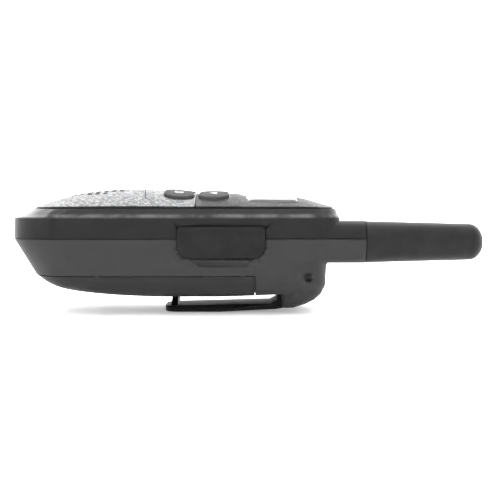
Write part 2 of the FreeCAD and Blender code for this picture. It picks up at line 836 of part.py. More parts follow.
def front_outside():
    """Outside of the front housing, with its groove, shoulder and rim."""
    groove = mm("seam_groove")
    rim = RIM[:3] + (RIM[3] - mm("panel_step"),)
    share, hollow = 0.42, mm("band_hollow")
    band = tuple(a + (b - a) * (share + hollow) for a, b in zip(SHOULDER[:3], rim[:3]))
    band += (SHOULDER[3] + (rim[3] - SHOULDER[3]) * share,)
    near_rim = tuple(a + (b - a) * 0.9 for a, b in zip(band, rim))
    levels = [inset(SEAM, groove), SEAM[:3] + (SEAM[3] + groove,)]
    levels += eased(SEAM, SHOULDER, band, mm("edge_round"))
    levels += [band, near_rim, inset(rim, 0.2)]
    return stack(levels)


def front_housing_shape():
    """The front half of the case with ledge, bosses and openings."""
    seat = RIM[3] - mm("panel_thick")
    ledge = seat - mm("ledge_thick")
    outside = united(front_outside(),
                     neck_solid().common(box_solid((0, FAR), (-FAR, FAR), (SEAM[3], FAR))))
    cavity = stack([inset(SEAM, WALL, SEAM[3] - 1), inset(SHOULDER, WALL, ledge - WALL),
                    OPENING[:3] + (ledge,), OPENING[:3] + (FAR,)])
    rabbet = column(PANEL, seat, FAR, grow=GAP / 2)
    web = 1.6
    supports = []
    for x, y, _ in SCREWS:
        supports.append(rod_solid((x, y, SEAM[3]), mm("boss_radius"), mm("boss_top") - SEAM[3]))
        reach = sorted((y, math.copysign(HALF, y)))
        supports.append(box_solid((x - web / 2, x + web / 2), reach,
                                  (SEAM[3] + 0.6, mm("boss_top"))))
    body = outside.cut(cavity)
    added = Part.makeCompound(supports).common(outside.cut(rabbet))
    body = body.cut(rabbet).fuse(added)
    pilots = [rod_solid((x, y, SEAM[3] - 1), mm("screw_shank"), mm("screw_tip") - SEAM[3] + 1)
              for x, y, _ in SCREWS]
    neck_inside = [neck_solid().common(box_solid((0, FAR), (-FAR, FAR), (SEAM[3], FAR)))]
    body = body.fuse(neck_inside)
    return largest(without(body, *(pilots + side_openings() + neck_tools())))


front_housing = feature("front_housing", front_housing_shape())


# ------------------------------------------------------------ rear housing

# The swelling round the clip base: height, then start, end and side insets
# and the corner radius.
BULGE_STATIONS = (
    (11.0, 0.0, 0.2, 4.2, 8.0),
    (9.0, 0.2, 0.7, 4.8, 6.8),
    (7.0, 0.4, 1.5, 6.0, 6.0),
    (4.8, 0.6, 3.7, 7.8, 5.0),
    (3.2, 0.8, 6.9, 9.6, 3.6),
    (1.9, 1.0, 10.9, 11.2, 2.0),
)


def bulge():
    """The swelling of the back round the clip base."""
    wires = []
    for height, start, end, side, corner in BULGE_STATIONS:
        half = DOOR[2] - side
        wires.append(plan_wire((mm("bulge_start") + start, DOOR[1] - end), (-half, half),
                               corner, height))
    return Part.makeLoft(wires, True, True)


def strap_tools():
    """The scoop of the strap eye and its tunnel through the corner."""
    share = (DOOR[3] - mm("eye_height")) / (DOOR[3] - mm("back_height"))
    side = Outline(*DOOR).side_at(mm("eye_x")) - share * 2
    scoop = Part.makeSphere(mm("scoop_radius"), Vector(mm("eye_x") + 0.4,
                                                       -side - mm("scoop_offset"),
                                                       mm("eye_height") + 0.6))
    before, slant = 2.0, mm("eye_slant")
    tunnel = rod_solid((mm("eye_x") - before * slant, -side - before, mm("eye_height")),
                       mm("eye_radius"), 26.0, (slant, 1, 0))
    return [scoop, tunnel]


def nail_recess():
    """The round-ended hollow for a finger nail under the socket cover."""
    radius = mm("nail_radius")
    x = (mm("nail_start") + radius, mm("nail_end") - radius)
    wall = Outline(*WAIST).side_at(sum(x) / 2) + radius - mm("nail_depth")
    middle = (-wall, mm("cover_low") - mm("nail_drop"))
    balls = [Part.makeSphere(radius, Vector(end, *middle)) for end in x]
    return rod_solid((x[0],) + middle, radius, x[1] - x[0], (1, 0, 0)).fuse(balls)


def rear_outside():
    """Outside of the rear housing with bulge and half of the neck."""
    groove = mm("seam_groove")
    walls = stack([DOOR, WAIST, SEAM[:3] + (SEAM[3] - groove,), inset(SEAM, groove)])
    split = mm("door_end") + GAP / 2
    back = stack(back_levels()).common(box_solid((split, FAR), (-FAR, FAR), (-1, FAR)))
    neck = neck_solid().common(box_solid((0, FAR), (-FAR, FAR), (-1, SEAM[3])))
    return walls.fuse([back, bulge(), neck]).removeSplitter()


def rear_housing_shape():
    """The rear half of the case with the battery bay and its openings."""
    outside = rear_outside()
    room_floor = mm("base_top") + 2.0
    bay_top, roof_top = mm("bay_roof"), mm("bay_roof") + mm("bay_roof_thick")
    inside = stack([inset(DOOR, WALL, DOOR[3] - 1), inset(WAIST, WALL),
                    inset(SEAM, WALL, SEAM[3] + 1)])
    partition = mm("door_end") + 0.4
    bay = inside.common(box_solid((-1, mm("bay_end")), (-FAR, FAR), (-1, bay_top)))
    board_room = inside.common(box_solid((-1, FAR), (-FAR, FAR), (roof_top, FAR)))
    top_room = inside.common(box_solid((partition, FAR), (-FAR, FAR), (DOOR[3], FAR)))
    low_room = column(inset(DOOR, WALL + 0.4), room_floor, DOOR[3] + 0.5)
    low_room = low_room.common(box_solid((partition, FAR), (-FAR, FAR), (-1, FAR)))
    body = without(outside, bay, board_room, top_room, low_room)

    rib = 0.6
    extras = []
    for x, y, seat in SCREWS:
        extras.append(rod_solid((x, y, seat - (0 if seat > bay_top - 5 else 1.5)),
                                mm("boss_radius"), SEAM[3] - seat))
    for side in (-1, 1):
        y = side * mm("cell_pitch") / 2
        extras.append(box_solid((mm("cell_start") + 3, mm("bay_end")), (y - rib, y + rib),
                                (bay_top - 2.6, bay_top + 0.5)))
        extras.append(rod_solid((mm("board_screw_x"), side * mm("board_screw_y"),
                                 bay_top - 2.8), 1.6, roof_top - bay_top + 3.1))
    bulkhead = mm("cell_start") - 1.2
    extras.append(box_solid((bulkhead - 2, bulkhead), (-HALF * 0.78, HALF * 0.78),
                            (mm("back_height") + 4.4, bay_top + 0.5)))
    eye_wall = 1.4
    eye_top = mm("eye_height") + mm("eye_radius") + eye_wall
    eye_block = box_solid((mm("eye_x") - 5.2, FAR), (-HALF, -mm("cheek_outer") + 6.0),
                          (room_floor - 0.5, eye_top))
    extras.append(eye_block.common(outside))
    sill = stack([inset(DOOR, mm("door_wall") + GAP, DOOR[3] + 1)]
                 + back_levels(thickness=mm("door_wall") + GAP, floor=1.3))
    extras.append(sill.common(box_solid((mm("bay_end") - 0.4, partition), (-FAR, FAR),
                                        (-1, DOOR[3] + 0.2))))
    body = body.fuse(extras).cut(box_solid((-1, FAR), (-FAR, FAR), (SEAM[3], FAR)))
    body = body.fuse([neck_solid().common(box_solid((0, FAR), (-FAR, FAR), (-1, SEAM[3])))])

    clip_room = box_solid((mm("base_start"), mm("base_end")),
                          (-mm("cheek_outer"), mm("cheek_outer")), (-1, mm("base_top")))
    drills = []
    for x, y, seat in SCREWS:
        drills.append(rod_solid((x, y, seat - 1), mm("screw_shank"), FAR))
        drills.append(rod_solid((x, y, -1), mm("screw_head") + 0.3, seat + 1))
    for side in (-1, 1):
        drills.append(rod_solid((mm("board_screw_x"), side * mm("board_screw_y"),
                                 bay_top - 1.8), 0.8, FAR))
    door_tab_room = box_solid((mm("door_end") - 2, mm("door_end") + 3.4),
                              (-mm("clip_half_width"), mm("clip_half_width")),
                              (mm("back_height") + 1.0, mm("back_height") + 2.8))
    tools = [clip_room, door_tab_room, nail_recess()] + drills
    tools += side_openings() + neck_tools() + strap_tools()
    return largest(without(body, *tools))


rear_housing = feature("rear_housing", rear_housing_shape())


# ------------------------------------------------------------ battery door

def battery_door_shape():
    """The rounded lower shell that covers the cells."""
    low = mm("back_height") - 1
    reach = box_solid((-1, mm("door_end") - GAP / 2), (-FAR, FAR), (low, DOOR[3] - GAP))
    outside = stack(back_levels()).common(reach)
    open_top = inset(DOOR, mm("door_wall"), DOOR[3] + 1)
    hollow = stack([open_top] + back_levels(thickness=mm("door_wall"), floor=0.9))
    shell = outside.cut(hollow)
    tab_low = mm("back_height") + 1.2
    half = mm("clip_half_width") - 0.5
    tab_root = mm("cell_start") + mm("cell_length") + 0.4
    tab = box_solid((tab_root, mm("door_end") + 2.9), (-half, half),
                    (tab_low, tab_low + 1.0))
    tab = tab.fuse(box_solid((tab_root, tab_root + 2), (-half, half),
                             (mm("back_height") + 0.5, tab_low + 1.0)))
    grip = []
    for step in range(5):
        x = DOOR[0] + 9.0 + 2.6 * step
        grip.append(box_solid((x, x + 0.9), (-9.0, 9.0), (low, DOOR[3])))
    lowered = stack(back_levels())
    lowered.translate(Vector(0, 0, -0.35))
    ribs = Part.makeCompound(grip).common(lowered.cut(stack(back_levels())))
    return largest(shell.fuse([tab, ribs]))


battery_door = feature("battery_door", battery_door_shape())


# ------------------------------------------------------------- face panels

def face_pieces():
    """Speaker panel, keypad panel and display bezel, before their holes."""
    low, high = RIM[3] - 4, RIM[3] + 12
    seat = RIM[3] - mm("panel_thick")
    lip = column(PANEL, seat, high).cut(column(OPENING, low, high + 1, grow=0.3))
    lip = lip.common(skin(-0.2, 6.0))
    plate = skin(0.0, mm("panel_thick")).common(column(PANEL, low, high)).fuse(lip)
    wide = HALF + 5
    half_gap = GAP / 2
    edge = mm("speaker_end") - half_gap
    wing = mm("speaker_wing") - half_gap
    slope = ((mm("speaker_wing") - mm("speaker_end") - mm("speaker_lean"))
             / (PANEL[2] - mm("wing_start")))
    far_wing = wing + slope * (wide - PANEL[2])
    turn = mm("wing_start")
    lean = edge + mm("speaker_lean")
    speaker_plan = [(-10, -wide), (far_wing, -wide), (lean, -turn), (edge, 0), (lean, turn),
                    (far_wing, wide), (-10, wide)]
    split = mm("keypad_end")
    keypad_plan = [(split - half_gap, -wide), (split - half_gap, wide), (far_wing + GAP, wide),
                   (lean + GAP, turn), (edge + GAP, 0), (lean + GAP, -turn),
                   (far_wing + GAP, -wide)]
    bezel_plan = [(split + half_gap, -wide), (FAR, -wide), (FAR, wide), (split + half_gap, wide)]
    return [plate.common(plan_prism(plan, low, high))
            for plan in (speaker_plan, keypad_plan, bezel_plan)]


def key_holes():
    """Clear holes for the four keys."""
    return [plan_oval((x, side * mm("key_y")), mm("key_length"), mm("key_width"),
                      mm("key_corner"), RIM[3] - 6, RIM[3] + 12, grow=mm("key_gap"))
            for _, x, side in KEYS]


def sound_holes():
    """A round field of holes on a square grid in front of the speaker."""
    pitch = mm("hole_pitch")
    reach = int(mm("hole_field") / pitch) + 1
    holes = []
    for column_at in range(-reach, reach + 1):
        for row_at in range(-reach, reach + 1):
            x, y = column_at * pitch, row_at * pitch
            if math.hypot(x, y) <= mm("hole_field"):
                holes.append(rod_solid((mm("speaker_x") + x, y, RIM[3] - 2),
                                       mm("hole_radius"), 12))
    return holes


SPEAKER_PLATE, KEYPAD_PLATE, BEZEL_PLATE = face_pieces()
LENS_MIDDLE = ((mm("lens_start") + mm("lens_end")) / 2, 0.0)
lens_hole = plan_oval(LENS_MIDDLE, mm("lens_end") - mm("lens_start"),
                      2 * mm("lens_half_width"), mm("lens_corner"), RIM[3] - 4, RIM[3] + 12,
                      grow=0.1)
light_hole = rod_solid(LIGHT_SPOT + (RIM[3] - 4,), 1.0, 12)
voice_hole = rod_solid(MICROPHONE_SPOT + (RIM[3],), 0.6, 12)

feature("speaker_panel", largest(without(SPEAKER_PLATE, *sound_holes())))
feature("keypad_panel", largest(without(KEYPAD_PLATE, voice_hole, *key_holes())))
feature("display_bezel", largest(without(BEZEL_PLATE, lens_hole, light_hole, *key_holes())))


# -------------------------------------------------------------------- keys

MAT_BASE = 0.5
MAT_BUMP = 1.1
PRESS_SPACE = 0.1


def key_shape(x, side):
    """One key: crowned cap, flange under the panel and a stem."""
    centre = (x, side * mm("key_y"))
    slack = 0.15
    under = mm("panel_thick") + slack
    flange = 0.6
    cap = skin(mm("key_proud"), under + flange)
    cap = cap.common(plan_oval(centre, mm("key_length"), mm("key_width"), mm("key_corner"),
                               RIM[3] - 6, RIM[3] + 12))
    rims = [edge for edge in cap.Edges
            if edge.CenterOfMass.z > crown_height(edge.CenterOfMass.x, edge.CenterOfMass.y)
            + mm("key_proud") - 0.2]
    cap = cap.makeFillet(mm("key_round"), rims)
    collar = skin(-under, under + flange)
    collar = collar.common(plan_oval(centre, mm("key_length"),
                                     mm("key_width") + 2 * (mm("key_gap") + mm("key_flange")),
                                     mm("key_corner"), RIM[3] - 6, RIM[3] + 12))
    foot = FACE_BOARD_TOP + MAT_BUMP + mm("key_travel") + PRESS_SPACE
    stem = rod_solid(centre + (foot,), mm("key_stem"), crown_height(*centre) - 1 - foot)
    return largest(united(cap, collar, stem))


for name, key_x, key_side in KEYS:
    feature(name, key_shape(key_x, key_side))


# ----------------------------------------- socket cover and push-to-talk key

def socket_cover_shape():
    """The soft cover that follows the side wall."""
    shell = walls_offset(mm("cover_proud")).cut(walls_offset(-mm("cover_depth")))
    return largest(shell.common(side_prism(cover_profile(), -1, HALF / 2)))


def button_shape():
    """The push to talk button with the flange that keeps it in the wall."""
    depth, flange = WALL + 0.35, 0.8
    cap = walls_offset(mm("cover_proud")).cut(walls_offset(-depth))
    cap = cap.common(side_prism(button_profile(), 1, HALF * 0.6))
    collar = walls_offset(-WALL - 0.15).cut(walls_offset(-WALL - 0.15 - flange))
    collar = collar.common(side_prism(button_profile(1.0), 1, HALF * 0.6))
    return largest(united(cap, collar))


feature("jack_cover", socket_cover_shape())
feature("ptt_button", button_shape())


# ----------------------------------------------------------------- display

lens = new_body("display_lens")
lens_drawing = new_sketch(lens, "XY_Plane", size("lens_top") - size("lens_thick"))
lens_y = size("lens_half_width")
draw_polygon(lens_drawing, [(size("lens_start"), -lens_y), (size("lens_end"), -lens_y),
                            (size("lens_end"), lens_y), (size("lens_start"), lens_y)])
lens_pad = pad(lens, lens_drawing, size("lens_thick"))
crown_drawing = new_sketch(lens, "YZ_Plane", size("lens_start") - 1)
crown_radius = (lens_y * lens_y / size("lens_crown") + size("lens_crown")) / 2
draw_circle(crown_drawing, (0.0, size("lens_top") - crown_radius), crown_radius)
crown_reach = crown_radius * 1.2
crown_low, crown_high = size("lens_top") - crown_reach * 2, size("lens_top") + crown_reach
draw_polygon(crown_drawing, [(-crown_reach, crown_low), (crown_reach, crown_low),
                             (crown_reach, crown_high), (-crown_reach, crown_high)])
lens_crown = pocket(lens, crown_drawing, size("lens_end") - size("lens_start") + 2, reverse=True)
DOCUMENT.recompute()


def edges_where(shape, test):
    """Names of the edges whose middle and direction pass a test."""
    names = []
    for index, edge in enumerate(shape.Edges, start=1):
        way = edge.tangentAt(edge.FirstParameter)
        if test(edge.CenterOfMass, way):
            names.append("Edge%d" % index)
    return names


def round_edges(body, base, names, radius, kind="Fillet"):
    """Round or bevel the named edges by a sheet size."""
    made = body.newObject("PartDesign::" + kind, body.Name + "_" + kind.lower())
    made.Base = (base, names)
    made.setExpression("Radius" if kind == "Fillet" else "Size", as_size(radius).formula)
    DOCUMENT.recompute()
    return made


upright = edges_where(lens_crown.Shape, lambda spot, way: abs(way.z) > 0.99)
lens_corners = round_edges(lens, lens_crown, upright, size("lens_corner"))
on_top = edges_where(lens_corners.Shape, lambda spot, way: abs(way.z) < 0.9
                     and spot.z > mm("lens_top") - mm("lens_crown") - 0.1)
round_edges(lens, lens_corners, on_top, size("lens_bevel"), "Chamfer")

face_top = size("face_board_bottom") + size("board_thick")
glass_start, glass_end = size("lens_start") + 0.6, size("lens_end") - 0.6
lens_under = size("lens_top") - size("lens_thick")
frame_top = face_top + 1.1
lcd_glass = node(block((glass_start, glass_end), (-lens_y + 0.6, lens_y - 0.6),
                       (frame_top, lens_under)), "lcd_glass")
lcd_frame = node(cut(block((glass_start, glass_end), (-lens_y + 0.6, lens_y - 0.6),
                           (face_top, frame_top)),
                     [block((glass_start + 1.5, glass_end - 1.5),
                            (-lens_y + 2.1, lens_y - 2.1), (face_top + 0.5, frame_top + 1))]),
                 "lcd_frame")
light_pipe = feature("light_pipe", rod_solid(LIGHT_SPOT + (FACE_BOARD_TOP,), 0.9,
                                             crown_height(*LIGHT_SPOT) + 0.1
                                             - FACE_BOARD_TOP))

# ------------------------------------------------------------------ boards

board_y = size("board_half_width")
main_board = new_body("main_board")
board_drawing = new_sketch(main_board, "XY_Plane", size("board_bottom"))
notch = 4.5
draw_polygon(board_drawing, [
    (size("board_start"), -board_y), (size("board_end") - notch, -board_y),
    (size("board_end"), -board_y + notch), (size("board_end"), board_y - notch),
    (size("board_end") - notch, board_y), (size("board_start"), board_y)])
pad(main_board, board_drawing, size("board_thick"))
board_holes = new_sketch(main_board, "XY_Plane", size("board_bottom"))
boss_clear = size("boss_radius") + 0.3
draw_circle(board_holes, (size("cover_screw_x"), -size("top_screw_y")), boss_clear)
draw_circle(board_holes, (size("button_screw_x"), size("top_screw_y")), boss_clear)
for way in (-1, 1):
    draw_circle(board_holes, (size("board_screw_x"), size("board_screw_y") * way), 0.85)
pocket(main_board, board_holes, size("board_thick"), reverse=True)

display_board = node(block((size("face_board_start"), size("face_board_end")),
                           (-size("face_board_half"), size("face_board_half")),
                           (size("face_board_bottom"), face_top)), "display_board")

board_top = size("board_bottom") + size("board_thick")
connector_x = size("face_board_start") + 12.5
board_connector = node(block((connector_x, connector_x + 4), (-10, 10),
                             (board_top, size("face_board_bottom"))), "board_connector")
shield_x = (size("ptt_x") + 1.5, size("board_end") - 9.5)
rf_shield = node(cut(block(shield_x, (-12, 12), (board_top, board_top + 2.8)),
                     [block((shield_x[0] + 0.3, shield_x[1] - 0.3), (-11.7, 11.7),
                            (board_top - 1, board_top + 2.5))]), "rf_shield")
chip_x = size("board_start") + 3.5
processor_chip = node(block((chip_x, chip_x + 10), (-5, 5), (board_top, board_top + 1.4)),
                      "processor_chip")

mat_bumps = [block((size("key_lower_x") - 4.4, size("key_upper_x") + 4.4), (-16, 16),
                   (face_top, face_top + MAT_BASE))]
for _, key_place, way in KEYS:
    alias = "key_lower_x" if key_place == mm("key_lower_x") else "key_upper_x"
    mat_bumps.append(rod((size(alias), size("key_y") * way, face_top), 2.6, MAT_BUMP))
keypad_mat = node(fuse(mat_bumps), "keypad_mat")

# ---------------------------------------------------- speaker and microphone

top = size("speaker_top")
deep = size("speaker_deep")
outer = size("speaker_radius")
speaker_x = size("speaker_x")
basket = 0.8
back_ring = size("magnet_radius")
speaker_frame = turned("speaker_frame", [
    (outer, top), (outer - 2.6, top), (outer - 2.6, top - 1.0), (back_ring - 0.8, top - deep),
    (4.0, top - deep), (4.0, top - deep - basket), (back_ring, top - deep - basket),
    (outer - 1.4, top - 1.6), (outer, top - 1.6)])
speaker_cone = turned("speaker_cone", [
    (0.0, top - 2.0), (2.4, top - 2.4), (4.3, top - 3.5), (outer - 4.0, top - 0.2),
    (outer - 2.6, top - 0.5), (outer - 2.6, top - 0.8), (outer - 4.0, top - 0.6),
    (4.2, top - 4.0), (2.2, top - 2.9), (0.0, top - 2.5)])
magnet_top = top - deep - basket
speaker_magnet = turned("speaker_magnet", [
    (0.0, magnet_top), (back_ring, magnet_top),
    (back_ring, magnet_top - size("magnet_thick")), (0.0, magnet_top - size("magnet_thick"))])
for part_of_speaker in (speaker_frame, speaker_cone, speaker_magnet):
    place(part_of_speaker, speaker_x)



def speaker_gasket_shape():
    """A foam ring that fills the space between speaker and panel."""
    foot = (mm("speaker_x"), 0, mm("speaker_top"))
    ring = rod_solid(foot, mm("speaker_radius"), 12)
    ring = ring.cut(rod_solid(foot, mm("speaker_radius") - 2.2, 12))
    return largest(ring.common(skin(-mm("panel_thick"), 14.0)))


feature("speaker_gasket", speaker_gasket_shape())

voice_x = size("speaker_wing") - 2.0
boot_top = size("rim_height") + 4.1
capsule_radius = 2.6
boot_radius = 3.2
capsule_low = boot_top - 2.6
microphone = node(rod((voice_x, 0, capsule_low), capsule_radius, boot_top - capsule_low),
                  "microphone")
boot = rod((voice_x, 0, face_top), boot_radius, boot_top - face_top)
microphone_boot = node(cut(boot, [rod((voice_x, 0, capsule_low), capsule_radius, 5.0)]),
                       "microphone_boot")

# ----------------------------------------------------------------- sockets


def socket_shape(x, bore):
    """One round socket with its square body and blind bore."""
    half = mm("jack_side") / 2
    wall_out = Outline(*SEAM).side_at(x)
    front = wall_out - WALL - 0.6
    barrel_front = wall_out - mm("cover_depth") - 0.25
    back = front - mm("jack_length")
    body = box_solid((x - half, x + half), (-front, -back),
                     (BOARD_TOP, 2 * mm("jack_height") - BOARD_TOP))
    barrel = rod_solid((x, -back - 1, mm("jack_height")), mm("jack_barrel") - 0.15,
                       barrel_front - back - 1, (0, -1, 0))
    hole = rod_solid((x, -back - 1.0, mm("jack_height")), bore, FAR, (0, -1, 0))
    return largest(body.fuse(barrel).cut(hole))


feature("headset_jack", socket_shape(mm("headset_x"), mm("headset_bore")))
feature("microphone_jack", socket_shape(mm("microphone_x"), mm("microphone_bore")))

switch_x = size("ptt_x")
switch_face = 22.55
ptt_switch = node(fuse([
    block((switch_x - 3, switch_x + 3), (18.6, 21.4), (board_top, board_top + 5)),
    rod((switch_x, 21.4, board_top + 2.4), 1.5, switch_face - 21.4, "y")]), "ptt_switch")

# ----------------------------------------------------------------- antenna

neck_end = size("neck_end")
antenna_end = size("overall_length")
closed_end = 8.0
sleeve_bore = size("sleeve_bore")
tip_radius = size("sleeve_tip_radius")
antenna_sleeve = turned("antenna_sleeve", [
    (neck_end, sleeve_bore), (neck_end, size("sleeve_radius")), (antenna_end, tip_radius),
    (antenna_end, 0.0), (antenna_end - closed_end, 0.0),
    (antenna_end - closed_end, sleeve_bore)], "H_Axis")
DOCUMENT.recompute()
round_end = edges_where(antenna_sleeve.Shape, lambda spot, way:
                        spot.x > float(antenna_end) - 0.1 and abs(way.x) < 0.1)
sleeve_end = round_edges(antenna_sleeve, antenna_sleeve.Tip, round_end, tip_radius * 0.72)
step_in = edges_where(antenna_sleeve.Shape, lambda spot, way:
                      abs(spot.x - float(neck_end)) < 0.01 and abs(way.x) < 0.1)
outer_ring = [name for name in step_in
              if antenna_sleeve.Shape.getElement(name).Curve.Radius > mm("sleeve_bore") + 1]
round_edges(antenna_sleeve, sleeve_end, outer_ring, 0.4)

ferrule_start = size("neck_start") + 3.5
ferrule_radius = size("neck_bore") - 0.1
stud_radius = sleeve_bore - 0.1
stud_end = neck_end + 7
antenna_ferrule = turned("antenna_ferrule", [
    (ferrule_start, 0.0), (ferrule_start, ferrule_radius), (neck_end, ferrule_radius),
    (neck_end, stud_radius), (stud_end, stud_radius), (stud_end, 0.0)], "H_Axis")

coil_start = stud_end + size("coil_wire")
coil_path = DOCUMENT.addObject("Part::Helix", "coil_path")
coil_path.setExpression("Radius", "Sizes.coil_radius")
coil_path.setExpression("Pitch", "Sizes.coil_pitch")
coil_path.setExpression("Height", (antenna_end - closed_end - 3 - coil_start).formula)
coil_wire = DOCUMENT.addObject("Part::Circle", "coil_wire")
coil_wire.setExpression("Radius", "Sizes.coil_wire")
coil_wire.setExpression("Placement.Base.x", "Sizes.coil_radius")
coil_wire.Placement = FreeCAD.Placement(Vector(mm("coil_radius"), 0, 0),
                                        Rotation(Vector(1, 0, 0), 90))
coil_wire.setExpression("Placement.Base.x", "Sizes.coil_radius")
antenna_coil = DOCUMENT.addObject("Part::Sweep", "antenna_coil")
antenna_coil.Sections = [coil_wire]
antenna_coil.Spine = (coil_path, [])
antenna_coil.Solid = True
antenna_coil.Frenet = True
antenna_coil.Placement = FreeCAD.Placement(Vector(0, 0, 0), Rotation(Vector(0, 1, 0), 90))
node(antenna_coil, "antenna_coil")
place(antenna_coil, coil_start, -size("neck_y"), size("neck_height"))
for antenna_part in (antenna_sleeve, antenna_ferrule):
    place(antenna_part, 0, -size("neck_y"), size("neck_height"))
antenna_contact = node(rod((size("board_end"), -size("neck_y") + 0, size("neck_height")), 0.8,
                           ferrule_start - size("board_end"), "x"), "antenna_contact")

# ----------------------------------------------------------- battery parts

for count in range(3):
    cell_body = size("cell_length") - size("button_length")
    cell = turned("battery_cell_%d" % (count + 1), [
        (0.0, 0.0), (0.0, size("cell_radius") - 0.3), (0.3, size("cell_radius")),
        (cell_body - 0.5, size("cell_radius")), (cell_body, size("cell_radius") - 0.5),
        (cell_body, size("button_radius")), (size("cell_length"), size("button_radius")),
        (size("cell_length"), 0.0)], "H_Axis")
    start_x = size("cell_start")
    if count == 1:
        cell.Placement = FreeCAD.Placement(Vector(0, 0, 0), Rotation(Vector(0, 0, 1), 180))
        start_x = start_x + size("cell_length")
    place(cell, start_x, size("cell_pitch") * (count - 1), size("cell_height"))

plate = size("plate_thick")
bulkhead_face = size("cell_start") - 1.2
foot_bumps = [block((bulkhead_face, bulkhead_face + plate), (-21, 21), (10.6, 19.4))]
for count in (-1, 0, 1):
    foot_bumps.append(rod((bulkhead_face + plate, size("cell_pitch") * count,
                           size("cell_height")), 2.2, size("cell_start") - bulkhead_face
                          - plate, "x"))
contact_plate_foot = node(fuse(foot_bumps), "contact_plate_foot")
plate_face = size("bay_end") - plate
contact_plate_top = node(block((plate_face, size("bay_end")), (-21, 21), (14.2, 19.4)),
                         "contact_plate_top")
spring_start = size("cell_start") + size("cell_length")
for count in range(3):
    spiral = DOCUMENT.addObject("Part::Helix", "spring_path")
    spiral.Radius = 2.4
    spiral.Pitch = 1.25
    spiral.setExpression("Height", (plate_face - spring_start - 0.8).formula)
    ring = DOCUMENT.addObject("Part::Circle", "spring_wire")
    ring.Radius = 0.35
    ring.Placement = FreeCAD.Placement(Vector(2.4, 0, 0), Rotation(Vector(1, 0, 0), 90))
    spring = DOCUMENT.addObject("Part::Sweep", "battery_spring_%d" % (count + 1))
    spring.Sections = [ring]
    spring.Spine = (spiral, [])
    spring.Solid = True
    spring.Frenet = True
    spring.Placement = FreeCAD.Placement(Vector(0, 0, 0), Rotation(Vector(0, 1, 0), 90))
    node(spring, "battery_spring_%d" % (count + 1))
    place(spring, spring_start + 0.4, size("cell_pitch") * (count - 1),
          size("cell_height") + 3)

# ------------------------------------------------------------------ screws

SCREW_HEAD_TALL = 1.6
screw_rows = (
    ("foot_screw_x", -1, "foot_screw_y", "foot_seat"),
    ("foot_screw_x", 1, "foot_screw_y", "foot_seat"),
    ("cover_screw_x", -1, "top_screw_y", "top_seat"),
    ("button_screw_x", 1, "top_screw_y", "top_seat"),
)
for count, (x_alias, way, y_alias, seat_alias) in enumerate(screw_rows, start=1):
    seat = size(seat_alias)
    shank = size("screw_shank")
    screw = turned("housing_screw_%d" % count, [
        (0.0, seat - SCREW_HEAD_TALL), (size("screw_head") - 0.5, seat - SCREW_HEAD_TALL),
        (size("screw_head"), seat - 1.1), (size("screw_head"), seat), (shank, seat),
        (shank, size("screw_tip") - 0.8), (shank * 0.4, size("screw_tip")),
        (0.0, size("screw_tip"))])
    slot = new_sketch(screw, "XY_Plane", seat - SCREW_HEAD_TALL)
    arm, half_slot = 1.2, 0.28
    draw_polygon(slot, [(-arm, -half_slot), (-half_slot, -half_slot), (-half_slot, -arm),
                        (half_slot, -arm), (half_slot, -half_slot), (arm, -half_slot),
                        (arm, half_slot), (half_slot, half_slot), (half_slot, arm),
                        (-half_slot, arm), (-half_slot, half_slot), (-arm, half_slot)])
    pocket(screw, slot, 0.8, reverse=True)
    place(screw, size(x_alias), size(y_alias) * way)

for count, way in ((1, -1), (2, 1)):
    board_screw = turned("board_screw_%d" % count, [
        (0.0, board_top + 1.2), (1.2, board_top + 1.2), (1.7, board_top + 0.7),
        (1.7, board_top), (0.78, board_top), (0.78, size("bay_roof") - 1.4),
        (0.0, size("bay_roof") - 1.7)])
    place(board_screw, size("board_screw_x"), size("board_screw_y") * way)

# --------------------------------------------------------------- belt clip

hinge_x, hinge_z = size("hinge_x"), size("hinge_height")
clip_end = size("clip_end")
arm_thick = size("clip_thick")
belt_clip = new_body("belt_clip")
arm_drawing = new_sketch(belt_clip, "XZ_Plane")
draw_polygon(arm_drawing, [
    (clip_end, 0.0), (size("clip_flat_end"), 0.0), (hinge_x - 2.9, size("clip_lift")),
    (hinge_x + 2.1, size("clip_lift") + 1.0), (size("tab_end"), hinge_z - 1.3),
    (size("tab_end"), hinge_z + 0.3), (hinge_x + 1.8, hinge_z - 0.6),
    (hinge_x - 2.0, hinge_z - 0.6), (hinge_x - 4.9, size("clip_lift") + arm_thick),
    (clip_end, arm_thick)])
clip_width = size("clip_half_width") * 2
arm_pad = pad(belt_clip, arm_drawing, clip_width, both_ways=True)
DOCUMENT.recompute()
free_corners = edges_where(arm_pad.Shape, lambda spot, way:
                           abs(way.z) > 0.99 and spot.x < float(clip_end) + 0.1)
round_free = round_edges(belt_clip, arm_pad, free_corners, size("clip_half_width") * 0.45)
soft_rim = edges_where(round_free.Shape, lambda spot, way:
                       spot.z < 0.01 and (abs(way.y) < 0.99 or spot.x < float(clip_end) + 1))
soften = round_edges(belt_clip, round_free, soft_rim, 0.5)
knuckle_drawing = new_sketch(belt_clip, "XZ_Plane")
draw_circle(knuckle_drawing, (hinge_x, hinge_z), size("knuckle_radius"))
pad(belt_clip, knuckle_drawing, clip_width, both_ways=True)
rib_drawing = new_sketch(belt_clip, "XZ_Plane")
rib_top = size("back_height") - 0.35
draw_polygon(rib_drawing, [
    (size("peg_start"), arm_thick - 0.5), (size("peg_end"), arm_thick - 0.5),
    (size("peg_end"), rib_top), (size("peg_start") + 0.6, rib_top)])
pad(belt_clip, rib_drawing, size("clip_half_width") * 1.4, both_ways=True)
spring_room = new_sketch(belt_clip, "XZ_Plane")
draw_polygon(spring_room, [
    (hinge_x - 2.8, hinge_z - 2.0), (hinge_x + 2.8, hinge_z - 2.0),
    (hinge_x + 2.8, hinge_z + 3), (hinge_x - 2.8, hinge_z + 3)])
pocket(belt_clip, spring_room, 6.4, both_ways=True)
